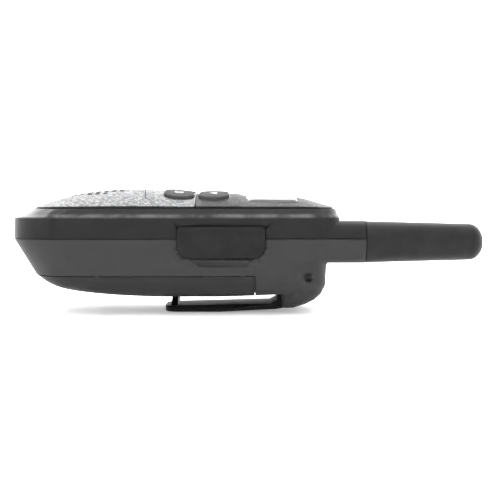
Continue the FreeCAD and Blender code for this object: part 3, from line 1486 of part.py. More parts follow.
pin_hole = new_sketch(belt_clip, "XZ_Plane")
draw_circle(pin_hole, (hinge_x, hinge_z), size("pin_radius") + size("pin_clearance"))
pocket(belt_clip, pin_hole, clip_width + 2, both_ways=True)

base_start, base_end = size("base_start"), size("base_end")
base_top, base_roof = size("base_top"), size("base_roof")
clip_base = new_body("clip_base")
base_drawing = new_sketch(clip_base, "XZ_Plane")
draw_polygon(base_drawing, [
    (base_start, base_top), (base_start, hinge_z + 1.2), (hinge_x - 2.7, hinge_z + 0.7),
    (hinge_x - 2.7, hinge_z - 1.2), (hinge_x - 1.6, hinge_z - 2.7), (hinge_x + 2.4, hinge_z - 3.2),
    (base_end, hinge_z - 0.6), (base_end, base_top)])
base_width = size("cheek_outer") * 2
pad(clip_base, base_drawing, base_width, both_ways=True)
clip_slot = new_sketch(clip_base, "XZ_Plane")
slot_end = size("tab_end") + 0.6
draw_polygon(clip_slot, [(base_start - 1, base_roof), (base_start - 1, -2.0),
                         (slot_end, -2.0), (slot_end, base_roof)])
pocket(clip_base, clip_slot, size("cheek_inner") * 2, both_ways=True)
base_hole = new_sketch(clip_base, "XZ_Plane")
draw_circle(base_hole, (hinge_x, hinge_z), size("pin_radius"))
pocket(clip_base, base_hole, base_width + 2, both_ways=True)

clip_pin = node(rod((hinge_x, -size("cheek_outer") + 0.2, hinge_z), size("pin_radius"),
                    base_width - 0.4, "y"), "clip_pin")
twist = DOCUMENT.addObject("Part::Helix", "clip_spring_path")
twist.Radius = 1.4
twist.Pitch = 0.75
twist.Height = 5.2
twist_wire = DOCUMENT.addObject("Part::Circle", "clip_spring_wire")
twist_wire.Radius = 0.28
twist_wire.Placement = FreeCAD.Placement(Vector(1.4, 0, 0), Rotation(Vector(1, 0, 0), 90))
clip_spring = DOCUMENT.addObject("Part::Sweep", "clip_spring")
clip_spring.Sections = [twist_wire]
clip_spring.Spine = (twist, [])
clip_spring.Solid = True
clip_spring.Frenet = True
clip_spring.Placement = FreeCAD.Placement(Vector(0, 0, 0), Rotation(Vector(1, 0, 0), -90))
node(clip_spring, "clip_spring")
place(clip_spring, hinge_x, -2.6, hinge_z)

# --------------------------------------------------------------- write out

DOCUMENT.recompute()
os.makedirs("parts", exist_ok=True)
shift = Vector(-mm("overall_length") / 2, 0, 0)
for item in DOCUMENT.Objects:
    if "Invalid" in item.State or "Error" in item.State:
        raise RuntimeError("bad feature: " + item.Label)
for item in NODES:
    if item.Shape.isNull() or not item.Shape.isValid():
        raise RuntimeError("bad shape: " + item.Label)
    written = item.Shape.copy()
    written.translate(shift)
    written.exportStep("parts/" + item.Label + ".step")
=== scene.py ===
"""A hand-held two-way radio on its belt clip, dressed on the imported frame."""

import json
import logging
import math
from dataclasses import dataclass, field
from enum import Enum
from typing import Any, Iterable, Mapping, Sequence, Union

import bmesh
import bpy
from mathutils import Matrix, Vector
from mathutils.bvhtree import BVHTree


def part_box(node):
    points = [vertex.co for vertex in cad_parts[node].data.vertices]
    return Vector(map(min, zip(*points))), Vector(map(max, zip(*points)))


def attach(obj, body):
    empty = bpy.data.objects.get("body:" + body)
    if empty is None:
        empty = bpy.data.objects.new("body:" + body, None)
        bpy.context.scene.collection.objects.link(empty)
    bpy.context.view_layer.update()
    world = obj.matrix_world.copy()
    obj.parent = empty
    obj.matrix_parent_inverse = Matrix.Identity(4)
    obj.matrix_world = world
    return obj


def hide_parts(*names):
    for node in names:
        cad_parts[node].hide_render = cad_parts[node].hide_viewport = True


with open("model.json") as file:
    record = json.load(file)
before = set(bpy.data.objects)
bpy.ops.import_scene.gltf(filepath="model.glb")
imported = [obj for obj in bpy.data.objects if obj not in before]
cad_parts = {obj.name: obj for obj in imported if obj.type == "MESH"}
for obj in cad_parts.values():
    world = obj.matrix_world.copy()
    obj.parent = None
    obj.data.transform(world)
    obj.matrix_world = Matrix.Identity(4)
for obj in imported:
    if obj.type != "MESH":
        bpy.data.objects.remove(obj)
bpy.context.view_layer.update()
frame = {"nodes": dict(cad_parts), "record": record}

MM = 0.001
MERGE = 0.002 * MM
LOG = logging.getLogger("radio")

Colour = tuple[float, float, float]
Number = Union[int, float]


def grey(level: float, warmth: float = 0.0) -> Colour:
    """A neutral colour, a little warm or cool."""
    return (level * (1 + warmth), level, level * (1 - warmth))


# ------------------------------------------------------------ shader maths


class Wire:
    """A shader socket that is added and multiplied like a number."""

    def __init__(self, bench: "Bench", socket: bpy.types.NodeSocket) -> None:
        """Keep the socket and the bench it is on."""
        self.bench = bench
        self.socket = socket

    def _math(self, operation: str, first: Any, second: Any) -> "Wire":
        """Add one Math node for an operation on two values."""
        return self.bench.add("ShaderNodeMath", {0: first, 1: second}, operation=operation)

    def __add__(self, other: Any) -> "Wire":
        """Sum with a value."""
        return self._math("ADD", self, other)

    def __radd__(self, other: Any) -> "Wire":
        """Sum with a number on the left."""
        return self._math("ADD", other, self)

    def __sub__(self, other: Any) -> "Wire":
        """Difference from a value."""
        return self._math("SUBTRACT", self, other)

    def __rsub__(self, other: Any) -> "Wire":
        """A number less this value."""
        return self._math("SUBTRACT", other, self)

    def __mul__(self, other: Any) -> "Wire":
        """Product with a value."""
        return self._math("MULTIPLY", self, other)

    def __rmul__(self, other: Any) -> "Wire":
        """Product with a number on the left."""
        return self._math("MULTIPLY", other, self)

    def __truediv__(self, other: Any) -> "Wire":
        """Quotient by a value."""
        return self._math("DIVIDE", self, other)

    def __pow__(self, other: Any) -> "Wire":
        """Power."""
        return self._math("POWER", self, other)

    def __gt__(self, other: Any) -> "Wire":
        """One where this value is greater."""
        return self._math("GREATER_THAN", self, other)

    def __lt__(self, other: Any) -> "Wire":
        """One where this value is less."""
        return self._math("LESS_THAN", self, other)


class Bench:
    """Adds nodes to a shader or geometry tree."""

    def __init__(self, tree: bpy.types.NodeTree) -> None:
        """Work on an empty node tree."""
        self.tree = tree

    def node(self, kind: str, links: Mapping[Any, Any] | None = None,
             **settings: Any) -> bpy.types.Node:
        """Add a node, set it up and then fill its sockets.

        Args:
            kind: The node's type name.
            links: Values or wires by socket name or number.
            **settings: Properties of the node, set before its sockets.

        Returns:
            The new node.
        """
        made = self.tree.nodes.new(kind)
        for name, value in settings.items():
            setattr(made, name, value)
        for key, value in (links or {}).items():
            socket = made.inputs[key]
            if isinstance(value, Wire):
                self.tree.links.new(value.socket, socket)
            elif socket.type == "RGBA" and len(value) == 3:
                socket.default_value = (*value, 1.0)
            else:
                socket.default_value = value
        return made

    def add(self, kind: str, links: Mapping[Any, Any] | None = None, output: Any = 0,
            **settings: Any) -> Wire:
        """Add a node and return one of its outputs as a wire.

        Args:
            kind: The node's type name.
            links: Values or wires by socket name or number.
            output: Name or number of the output wanted.
            **settings: Properties of the node.

        Returns:
            The output as a wire.
        """
        return Wire(self, self.node(kind, links, **settings).outputs[output])


class MaterialBench(Bench):
    """A new material with a Principled shader to finish it."""

    def __init__(self, name: str) -> None:
        """Start an empty material.

        Args:
            name: The material's name.
        """
        self.material = bpy.data.materials.new(name)
        self.material.use_nodes = True
        super().__init__(self.material.node_tree)
        self.tree.nodes.clear()
        self.place = self.add("ShaderNodeTexCoord", output="Object")

    def noise(self, size: float, detail: float = 2.0, rough: float = 0.5,
              place: Wire | None = None) -> Wire:
        """Soft noise whose features are about a size in metres."""
        return self.add("ShaderNodeTexNoise", {"Vector": place or self.place, "Scale": 1 / size,
                                               "Detail": detail, "Roughness": rough})

    def cells(self, size: float, output: str = "Color", feature: str = "F1") -> Wire:
        """Cell pattern whose cells are about a size in metres."""
        return self.add("ShaderNodeTexVoronoi", {"Vector": self.place, "Scale": 1 / size},
                        output, feature=feature)

    def spread(self, value: Wire, low: float, high: float) -> Wire:
        """Bring a value between two limits to 0 to 1."""
        return self.add("ShaderNodeMapRange", {"Value": value, "From Min": low,
                                               "From Max": high}, clamp=True)

    def blend(self, share: Any, first: Any, second: Any) -> Wire:
        """Mix two colours."""
        return self.add("ShaderNodeMix", {0: share, 6: first, 7: second}, 2, data_type="RGBA")

    def part_of(self, vector: Wire, axis: int) -> Wire:
        """One component of a vector."""
        return self.add("ShaderNodeSeparateXYZ", {0: vector}, axis)

    def distance_from(self, value: Wire, middle: float) -> Wire:
        """How far a value is from a middle."""
        return self.add("ShaderNodeMath", {0: value - middle}, operation="ABSOLUTE")

    def tinted(self, colour: Any, factor: Wire) -> Wire:
        """Scale a colour by a value.

        Args:
            colour: The colour.
            factor: The value.

        Returns:
            The scaled colour.
        """
        shade = self.add("ShaderNodeCombineColor", {0: factor, 1: factor, 2: factor})
        return self.add("ShaderNodeMix", {0: 1.0, 6: colour, 7: shade}, 2, data_type="RGBA",
                        blend_type="MULTIPLY")

    def facing(self, axis: int) -> Wire:
        """One component of the way that the surface faces."""
        return self.part_of(self.add("ShaderNodeNewGeometry", output="Normal"), axis)

    def channel(self, colour: Wire, index: int) -> Wire:
        """One channel of a colour."""
        return self.add("ShaderNodeSeparateColor", {0: colour}, index)

    def drawn(self, stretch: tuple[float, float, float], turn: float = 0.0) -> Wire:
        """The place on the piece, stretched and turned about Z."""
        return self.add("ShaderNodeMapping", {"Vector": self.place, "Scale": stretch,
                                              "Rotation": (0.0, 0.0, turn)})

    def hairlines(self) -> Wire:
        """Fine slanting scratches."""
        place = self.drawn((1.0, 9.0, 1.0), 0.6)
        return self.spread(self.noise(0.5 * MM, 4.0, 0.7, place), 0.62, 0.74)

    def bands(self, pitch: float, axis: str) -> Wire:
        """Even bands across one axis."""
        return self.add("ShaderNodeTexWave", {"Vector": self.place, "Scale": 1 / pitch}, 1,
                        wave_type="BANDS", bands_direction=axis)

    def soft_edges(self, radius: float) -> Wire:
        """The surface direction with its edges rounded."""
        return self.add("ShaderNodeBevel", {"Radius": radius}, samples=6)

    def edge_mask(self, rounded: Wire) -> Wire:
        """One along edges and nought on open faces.

        Args:
            rounded: The direction with its edges rounded.

        Returns:
            The mask.
        """
        true_normal = self.add("ShaderNodeNewGeometry", output="Normal")
        match = self.add("ShaderNodeVectorMath", {0: rounded, 1: true_normal}, "Value",
                         operation="DOT_PRODUCT")
        return self.spread(1 - match, 0.0, 0.25)

    def bump(self, height: Wire, depth: float, normal: Wire | None = None) -> Wire:
        """Raise the surface by a pattern up to a depth in metres.

        Args:
            height: The pattern, from 0 to 1.
            depth: How far a 1 stands up.
            normal: The direction to start from.

        Returns:
            The raised direction.
        """
        links: dict[str, Any] = {"Height": height, "Distance": depth, "Strength": 1.0}
        if normal is not None:
            links["Normal"] = normal
        return self.add("ShaderNodeBump", links)

    def finish(self, constants: Mapping[str, Any], **wires: Any) -> bpy.types.Material:
        """Join everything to a Principled shader.

        Args:
            constants: Socket values that are the same all over.
            **wires: Sockets that vary, with spaces as underscores.

        Returns:
            The finished material.
        """
        links = dict(constants)
        links.update({name.replace("_", " "): wire for name, wire in wires.items()})
        shader = self.add("ShaderNodeBsdfPrincipled", links, "BSDF")
        self.node("ShaderNodeOutputMaterial", {"Surface": shader})
        return self.material


# ---------------------------------------------------------------- finishes

_MADE: dict[str, bpy.types.Material] = {}


@dataclass(frozen=True)
class Finish:
    """A named surface finish, made once and shared."""

    name: str
    colour: Colour

    def material(self) -> bpy.types.Material:
        """The finish as a material.

        Returns:
            The one material of this name.
        """
        if self.name not in _MADE:
            _MADE[self.name] = self.mix(MaterialBench(self.name))
        return _MADE[self.name]

    def mix(self, bench: MaterialBench) -> bpy.types.Material:
        """Build the material on a bench."""
        raise NotImplementedError


@dataclass(frozen=True)
class MouldedPlastic(Finish):
    """Injection moulded plastic with spark-eroded grain and rubbed edges.

    A band between two heights may be polished, like the slope round the face, with a painted
    highlight along its lower edge, and painted shade may darken a seam at one height.
    """

    roughness: float = 0.42
    specular: float = 0.28
    grain: float = 0.32 * MM
    depth: float = 0.006 * MM
    mottle: float = 0.16
    edge: float = 0.14 * MM
    rub: float = 0.35
    band: tuple[float, float] = (0.0, 0.0)
    gloss: float = 0.0
    seam: float = 0.0
    # Height above the band's foot, half width and colour of the painted highlight strip along the
    # band's lower edge.
    painted_highlight_up: float = 0.75 * MM
    painted_highlight_half: float = 0.95 * MM
    painted_highlight_colour: Colour = grey(0.16)
    # Colour of the painted shade along the seam.
    seam_painted_shade_colour: Colour = grey(0.003)
    cloud_size: float = 9 * MM
    scuff_size: float = 2.2 * MM

    def mix(self, bench: MaterialBench) -> bpy.types.Material:
        """Build grain, uneven tone, faint scuffs, rubbed edges, the polished band with its
        painted highlight strip, and painted shade along the seam.

        Args:
            bench: The bench of the new material.

        Returns:
            The material.
        """
        fine = bench.noise(self.grain, 2.0, 0.6)
        cloud = bench.noise(self.cloud_size, 3.0, 0.55)
        scuffs = bench.spread(bench.noise(self.scuff_size, 5.0, 0.72), 0.56, 0.74)
        rounded = bench.soft_edges(self.edge)
        rubbed = bench.edge_mask(rounded) * bench.spread(cloud, 0.25, 0.75)
        tone = 1 + (cloud - 0.5) * self.mottle + (fine - 0.5) * (self.mottle * 1.2)
        colour = bench.tinted(self.colour, tone)
        worn = tuple(min(channel * 1.9 + 0.03, 0.9) for channel in self.colour)
        colour = bench.blend(rubbed * self.rub, colour, worn)
        rough = self.roughness + (fine - 0.5) * 0.14 + scuffs * 0.08 - rubbed * 0.1
        constants: dict[str, Any] = {"IOR": 1.5, "Specular IOR Level": self.specular,
                                     "Coat Roughness": 0.16}
        wires = {"Roughness": rough,
                 "Normal": bench.bump(fine + scuffs * 0.4, self.depth, rounded)}
        height = bench.part_of(bench.place, 2)
        if self.gloss:
            low, high = self.band
            wires["Coat_Weight"] = ((height > low) * (height < high)
                                    * (self.gloss - scuffs * 0.15))
            # Painted highlight: a pale strip along the lower edge of the polished band stands in
            # for the reflection of the light there.
            painted_highlight = 1 - bench.spread(bench.distance_from(height, low + self.painted_highlight_up),
                                     0.15 * MM, self.painted_highlight_half)
            colour = bench.blend(painted_highlight * bench.spread(cloud, 0.3, 0.7) * 0.75, colour,
                                 self.painted_highlight_colour)
        if self.seam:
            # Painted shade: the seam line is darkened nearly black, as shade in the gap between
            # the housings would be.
            line = 1 - bench.spread(bench.distance_from(height, self.seam), 0.1 * MM,
                                    0.24 * MM)
            colour = bench.blend(line * 0.9, colour, self.seam_painted_shade_colour)
        wires["Base_Color"] = colour
        return bench.finish(constants, **wires)


@dataclass(frozen=True)
class SparklePlastic(Finish):
    """Face plastic with a coarse metallic sparkle and painted shade on its upright edges."""

    fleck: float = 0.62 * MM
    roughness: float = 0.46
    contrast: float = 0.5
    shadow_edge: float = 0.12
    specular: float = 0.3
    cloud_size: float = 7 * MM
    edge: float = 0.22 * MM
    edge_wear_and_highlight_colour: Colour = grey(0.62)

    def mix(self, bench: MaterialBench) -> bpy.types.Material:
        """Build flecks of two sizes over a pebbled ground.

        Args:
            bench: The bench of the new material.

        Returns:
            The material.
        """
        flecks = bench.channel(bench.cells(self.fleck), 0)
        small = bench.channel(bench.cells(self.fleck * 0.5), 1)
        cloud = bench.noise(self.cloud_size, 3.0)
        pebble = bench.noise(self.fleck * 0.8, 3.0, 0.65)
        rounded = bench.soft_edges(self.edge)
        rubbed = bench.edge_mask(rounded)
        shine = bench.spread(flecks, 0.86, 1.0) + bench.spread(small, 0.9, 1.0) * 0.7
        tone = (1 + (flecks - 0.5) * self.contrast + (small - 0.5) * (self.contrast * 0.7)
                + (cloud - 0.5) * 0.2)
        colour = bench.tinted(self.colour, tone + shine * 0.4)
        # Edge wear and painted highlight: eased edges are lightened evenly, partly as rubbing and
        # partly as the highlight the light puts on them.
        colour = bench.blend(rubbed * 0.45, colour, self.edge_wear_and_highlight_colour)
        # Painted shade: faces that stand upright are darkened nearly black, like the shaded side
        # walls of a raised panel.
        colour = bench.blend(bench.spread(bench.facing(2), 0.2, 0.45),
                             grey(self.shadow_edge * 0.2), colour)
        return bench.finish({"IOR": 1.5, "Specular IOR Level": self.specular}, Base_Color=colour,
                            Roughness=self.roughness - shine * 0.14,
                            Metallic=shine * 0.3,
                            Normal=bench.bump(pebble + flecks * 0.4, 0.012 * MM, rounded))


@dataclass(frozen=True)
class Rubber(Finish):
    """Soft matte rubber with dust in its pores."""

    roughness: float = 0.68
    pore: float = 0.5 * MM
    specular: float = 0.2
    bloom_size: float = 5 * MM
    edge: float = 0.2 * MM
    dust: Colour = grey(0.3, 0.03)

    def mix(self, bench: MaterialBench) -> bpy.types.Material:
        """Build pores, bloom and a little dust.

        Args:
            bench: The bench of the new material.

        Returns:
            The material.
        """
        pores = bench.noise(self.pore, 3.0, 0.6)
        bloom = bench.spread(bench.noise(self.bloom_size, 4.0, 0.6), 0.35, 0.75)
        rounded = bench.soft_edges(self.edge)
        tone = 0.92 + pores * 0.24 + bloom * 0.06
        colour = bench.blend(bloom * 0.02, bench.tinted(self.colour, tone), self.dust)
        return bench.finish({"IOR": 1.48, "Specular IOR Level": self.specular,
                             "Sheen Weight": 0.04, "Sheen Roughness": 0.5},
                            Base_Color=colour, Roughness=self.roughness + (bloom - 0.5) * 0.1,
                            Normal=bench.bump(pores, 0.008 * MM, rounded))


@dataclass(frozen=True)
class BareMetal(Finish):
    """Plated or turned metal with fine brushing and tarnish."""

    roughness: float = 0.3
    stretch: tuple[float, float, float] = (1.0, 1.0, 8.0)
    brush_size: float = 0.5 * MM
    tarnish_size: float = 2.5 * MM
    edge: float = 0.1 * MM

    def mix(self, bench: MaterialBench) -> bpy.types.Material:
        """Build brushing along one way and soft tarnish.

        Args:
            bench: The bench of the new material.

        Returns:
            The material.
        """
        brush = bench.noise(self.brush_size, 3.0, 0.6, bench.drawn(self.stretch))
        tarnish = bench.spread(bench.noise(self.tarnish_size, 4.0, 0.6), 0.4, 0.8)
        rounded = bench.soft_edges(self.edge)
        colour = bench.tinted(self.colour, 0.94 + brush * 0.14 - tarnish * 0.12)
        return bench.finish({}, Base_Color=colour, Metallic=1 - tarnish * 0.1,
                            Roughness=self.roughness + (brush - 0.5) * 0.2 + tarnish * 0.14,
                            Normal=bench.bump(brush, 0.003 * MM, rounded))


@dataclass(frozen=True)
class ClearPlastic(Finish):
    """Clear moulded plastic with hairline scratches."""

    alpha: float = 0.3
    roughness: float = 0.06
    edge: float = 0.3 * MM
    haze_size: float = 4 * MM
    haze_colour: Colour = grey(0.42)

    def mix(self, bench: MaterialBench) -> bpy.types.Material:
        """Build hairlines and a faint haze that lets light through.

        Args:
            bench: The bench of the new material.

        Returns:
            The material.
        """
        hairs = bench.hairlines()
        haze = bench.spread(bench.noise(self.haze_size, 3.0), 0.4, 0.8)
        rounded = bench.soft_edges(self.edge)
        rim = bench.edge_mask(rounded)
        colour = bench.blend(haze * 0.15 + rim * 0.3, self.colour, self.haze_colour)
        return bench.finish({"IOR": 1.49, "Coat Weight": 0.6, "Coat Roughness": 0.04},
                            Base_Color=colour,
                            Roughness=self.roughness + hairs * 0.12 + haze * 0.04,
                            Alpha=self.alpha + hairs * 0.08 + haze * 0.05 + rim * 0.3,
                            Normal=bench.bump(hairs, 0.002 * MM, rounded))


@dataclass(frozen=True)
class PrintedLens(Finish):
    """A clear lens with a black printed border round its window."""

    window_middle: tuple[float, float] = (9.55 * MM, 0.0)
    window_half: tuple[float, float] = (6.2 * MM, 13.6 * MM)
    border_soft: float = 0.25 * MM
    haze_size: float = 4 * MM
    window_colour: Colour = grey(0.10)
    bevel_colour: Colour = grey(0.12)

    def mix(self, bench: MaterialBench) -> bpy.types.Material:
        """Build the window, its border, hairlines and the polished bevel.

        Args:
            bench: The bench of the new material.

        Returns:
            The material.
        """
        reach = []
        for axis in (0, 1):
            away = bench.distance_from(bench.part_of(bench.place, axis),
                                       self.window_middle[axis])
            reach.append(bench.spread(away - self.window_half[axis], 0.0,
                                      self.border_soft))
        border = bench.add("ShaderNodeMath", {0: reach[0], 1: reach[1]}, operation="MAXIMUM")
        bevel = 1 - bench.spread(bench.facing(2), 0.85, 0.95)
        hairs = bench.hairlines()
        haze = bench.spread(bench.noise(self.haze_size, 3.0), 0.4, 0.8)
        colour = bench.blend(border, bench.tinted(self.window_colour, 0.8 + haze * 0.4),
                             bench.tinted(self.colour, 0.8 + haze * 0.4))
        colour = bench.blend(bevel * 0.7, colour, self.bevel_colour)
        return bench.finish({"IOR": 1.45, "Specular IOR Level": 0.12,
                             "Coat Roughness": 0.06, "Coat IOR": 1.6},
                            Base_Color=colour, Roughness=0.2 + hairs * 0.15 + haze * 0.05,
                            Coat_Weight=bevel * 0.85 + 0.15,
                            Alpha=0.4 + border * 0.6 + hairs * 0.06,
                            Normal=bench.bump(hairs, 0.002 * MM))


@dataclass(frozen=True)
class LiquidCrystal(Finish):
    """A switched-off liquid crystal panel with faint rows of dots."""

    pitch: float = 5 * MM
    cloud_size: float = 5 * MM

    def mix(self, bench: MaterialBench) -> bpy.types.Material:
        """Build the dot rows and the uneven reflector behind them.

        Args:
            bench: The bench of the new material.

        Returns:
            The material.
        """
        cloud = bench.noise(self.cloud_size, 2.0)
        crossing = bench.bands(self.pitch, "X") * bench.bands(self.pitch, "Y")
        dots = bench.spread(crossing, 0.35, 0.7)
        colour = bench.tinted(self.colour, 0.95 + (cloud - 0.5) * 0.15 - dots * 0.05)
        return bench.finish({"IOR": 1.5}, Base_Color=colour, Roughness=0.2 + cloud * 0.12,
                            Normal=bench.bump(dots, 0.0003 * MM))


@dataclass(frozen=True)
class BoardLaminate(Finish):
    """Green circuit board with tracks under its mask."""

    block: float = 3.2 * MM
    glass: float = 0.6 * MM
    track_colour: Colour = (0.10, 0.30, 0.12)
    tracks_per_block: int = 9

    def mix(self, bench: MaterialBench) -> bpy.types.Material:
        """Build tracks from a stepped cell pattern.

        Args:
            bench: The bench of the new material.

        Returns:
            The material.
        """
        blocks = bench.add("ShaderNodeTexVoronoi", {"Vector": bench.place,
                                                    "Scale": 1 / self.block},
                           "Distance", distance="CHEBYCHEV") * self.tracks_per_block
        turns = blocks - bench.add("ShaderNodeMath", {0: blocks}, operation="FLOOR")
        tracks = bench.spread(turns, 0.42, 0.5) * (1 - bench.spread(turns, 0.7, 0.78))
        weave = bench.noise(self.glass, 2.0)
        colour = bench.tinted(self.colour, 0.85 + weave * 0.2)
        colour = bench.blend(tracks * 0.5, colour, self.track_colour)
        return bench.finish({"IOR": 1.5}, Base_Color=colour, Roughness=0.32 + weave * 0.15,
                            Normal=bench.bump(tracks, 0.02 * MM))


@dataclass(frozen=True)
class CellSleeve(Finish):
    """The printed sleeve of a dry cell with a coloured end band, without words."""

    band: Colour = (0.45, 0.30, 0.10)
    band_from: float = 0.0
    flip: bool = False
    crease_size: float = 1.4 * MM
    can_colour: Colour = grey(0.62)

    def mix(self, bench: MaterialBench) -> bpy.types.Material:
        """Build the two-tone sleeve and the bare can at the ends.

        Args:
            bench: The bench of the new material.

        Returns:
            The material.
        """
        along, lengthwise = bench.part_of(bench.place, 0), bench.facing(0)
        banded = (along < self.band_from) if self.flip else (along > self.band_from)
        crease = bench.noise(self.crease_size, 3.0)
        ends = bench.spread(lengthwise * lengthwise, 0.5, 0.8)
        colour = bench.blend(banded, self.colour, self.band)
        colour = bench.blend(ends, colour, self.can_colour)
        colour = bench.tinted(colour, 0.92 + crease * 0.15)
        return bench.finish({"IOR": 1.5}, Base_Color=colour, Metallic=ends * 0.9 + 0.1,
                            Roughness=0.3 + crease * 0.1,
                            Normal=bench.bump(crease, 0.01 * MM))


@dataclass(frozen=True)
class Weave(Finish):
    """Woven dust cloth, foam or pressed paper, told apart by size and depth."""

    thread: float = 0.4 * MM
    depth: float = 0.05 * MM

    def mix(self, bench: MaterialBench) -> bpy.types.Material:
        """Build crossed threads with stray fibres.

        Args:
            bench: The bench of the new material.

        Returns:
            The material.
        """
        pitch = self.thread * 3
        fibre = bench.noise(self.thread, 4.0, 0.7)
        raised = bench.bands(pitch, "X") * bench.bands(pitch, "Y") + fibre * 0.4
        colour = bench.tinted(self.colour, 0.55 + raised * 0.7)
        return bench.finish({"IOR": 1.4, "Sheen Weight": 0.2}, Base_Color=colour,
                            Roughness=0.8 + fibre * 0.15,
                            Normal=bench.bump(raised, self.depth))


class Look(Enum):
    """Every finish used on the radio."""

    # The front case has the painted highlight strip on its polished band and painted shade along
    # its seam.
    FRONT = MouldedPlastic("front_case_plastic", grey(0.013, 0.01), roughness=0.45, specular=0.14,
                           mottle=0.2, rub=0.5, edge=0.16 * MM,
                           band=(33.5 * MM, 36.5 * MM), gloss=0.4, seam=26.4 * MM)
    # The rear case also has painted shade along its seam.
    REAR = MouldedPlastic("rear_case_plastic", grey(0.036), roughness=0.5, grain=0.42 * MM,
                          depth=0.01 * MM, mottle=0.2, rub=0.25, specular=0.12,
                          seam=26.4 * MM)
    DOOR = MouldedPlastic("door_plastic", grey(0.026), roughness=0.5, grain=0.42 * MM,
                          depth=0.01 * MM, mottle=0.2, rub=0.2, specular=0.1)
    CLIP = MouldedPlastic("clip_plastic", grey(0.016), roughness=0.5, mottle=0.15,
                          specular=0.04)
    CLIP_BASE = MouldedPlastic("clip_base_plastic", grey(0.012), roughness=0.5,
                               specular=0.03)
    BEZEL = SparklePlastic("bezel_plastic", grey(0.045), contrast=0.45, shadow_edge=0.06,
                           specular=0.05)
    KEYS = MouldedPlastic("key_plastic", grey(0.06), roughness=0.5, specular=0.02,
                          edge=0.25 * MM, rub=0.5, grain=0.5 * MM, mottle=0.6)
    PARTS = MouldedPlastic("black_part_plastic", grey(0.015), roughness=0.5)
    FACE = SparklePlastic("face_sparkle_plastic", grey(0.24, -0.01), contrast=0.9,
                          specular=0.03)
    COVER = Rubber("cover_rubber", grey(0.014), specular=0.08)
    BUTTON = Rubber("button_rubber", grey(0.026), roughness=0.6)
    ANTENNA = Rubber("antenna_rubber", grey(0.014), roughness=0.45, pore=0.35 * MM,
                     specular=0.12)
    MAT = Rubber("mat_silicone", grey(0.3), roughness=0.5)
    LENS = PrintedLens("printed_lens", grey(0.012))
    LIGHT = ClearPlastic("light_clear", (0.5, 0.08, 0.06), alpha=0.6)
    LCD = LiquidCrystal("liquid_crystal", (0.25, 0.28, 0.22))
    BOARD = BoardLaminate("board_laminate", (0.02, 0.14, 0.05))
    STEEL = BareMetal("plated_steel", grey(0.6, 0.01))
    SCREWS = BareMetal("black_steel", grey(0.16), roughness=0.38)
    BRASS = BareMetal("turned_brass", (0.66, 0.46, 0.18), stretch=(8.0, 1.0, 1.0))
    MAGNET = BareMetal("magnet_plate", grey(0.34), roughness=0.45)
    CONE = Weave("cone_paper", grey(0.035), thread=0.3 * MM)
    CLOTH = Weave("dust_cloth", grey(0.02), thread=0.35 * MM)
    FOAM = Weave("gasket_foam", grey(0.03), thread=0.6 * MM, depth=0.1 * MM)
    INK = MouldedPlastic("key_print", grey(0.62), roughness=0.5, rub=0.0, mottle=0.1)

    def material(self) -> bpy.types.Material:
        """The material of this finish."""
        return self.value.material()


# ------------------------------------------------------------- mesh helpers


def new_piece(name: str, mesh: bpy.types.Mesh, look: Look, body: str, slot: str,
              stands_for: Sequence[str] = ()) -> bpy.types.Object:
    """Put a finished mesh in the scene as a piece of the radio.

    Args:
        name: The piece's name.
        mesh: Its mesh, in place.
        look: Its finish.
        body: The body that it rides on.
        slot: The record's material slot that it belongs to; not used.
        stands_for: The frame nodes that it replaces.

    Returns:
        The new object.
    """
    mesh.name = name
    mesh.materials.clear()
    mesh.materials.append(look.material())
    piece = bpy.data.objects.new(name, mesh)
    bpy.context.scene.collection.objects.link(piece)
    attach(piece, body)
    if stands_for:
        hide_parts(*stands_for)
    LOG.info("%s: %d faces on %s", name, len(mesh.polygons), body)
    return piece


def smooth(mesh: bpy.types.Mesh, angle: float = 30.0) -> bpy.types.Mesh:
    """Shade a mesh smooth except across sharp edges, led by its large faces.

    Args:
        mesh: The mesh, which is used up.
        angle: The least angle of a sharp edge, in degrees.

    Returns:
        The shaded mesh.
    """
    mesh.shade_smooth()
    mesh.set_sharp_from_angle(angle=math.radians(angle))
    holder = bpy.data.objects.new("holder", mesh)
    bpy.context.scene.collection.objects.link(holder)
    weigh = holder.modifiers.new("weigh", "WEIGHTED_NORMAL")
    weigh.mode = "FACE_AREA"
    weigh.weight = 50
    weigh.keep_sharp = True
    return baked(holder)


def baked(holder: bpy.types.Object) -> bpy.types.Mesh:
    """The plain mesh of an object with its modifiers run, and the object removed.

    Args:
        holder: The object.

    Returns:
        Its mesh.
    """
    graph = bpy.context.evaluated_depsgraph_get()
    graph.update()
    mesh = bpy.data.meshes.new_from_object(holder.evaluated_get(graph))
    bpy.data.objects.remove(holder)
    return mesh


def fair_copy(node: str) -> bpy.types.Mesh:
    """A merged copy of a frame node's mesh, smooth over its gentle curves.

    Args:
        node: The frame node's name.

    Returns:
        The new mesh.
    """
    mesh = frame["nodes"][node].data.copy()
    work = bmesh.new()
    work.from_mesh(mesh)
    bmesh.ops.remove_doubles(work, verts=work.verts, dist=MERGE)
    bmesh.ops.dissolve_degenerate(work, edges=work.edges, dist=MERGE / 2)
    bmesh.ops.recalc_face_normals(work, faces=work.faces)
    work.to_mesh(mesh)
    work.free()
    return smooth(mesh)


def closed(work: bmesh.types.BMesh, name: str) -> bpy.types.Mesh:
    """Turn a closed work mesh's faces outwards and return it as a mesh.

    Args:
        work: The work mesh, which is used up.
        name: The new mesh's name.

    Returns:
        The new mesh.
    """
    bmesh.ops.recalc_face_normals(work, faces=work.faces)
    mesh = bpy.data.meshes.new(name)
    work.to_mesh(mesh)
    work.free()
    return mesh


def slot_of(node: str) -> str:
    """The record's material slot of a frame node."""
    return next(part["material_slot"] for part in frame["record"]["subparts"]
                if part["node"] == node)


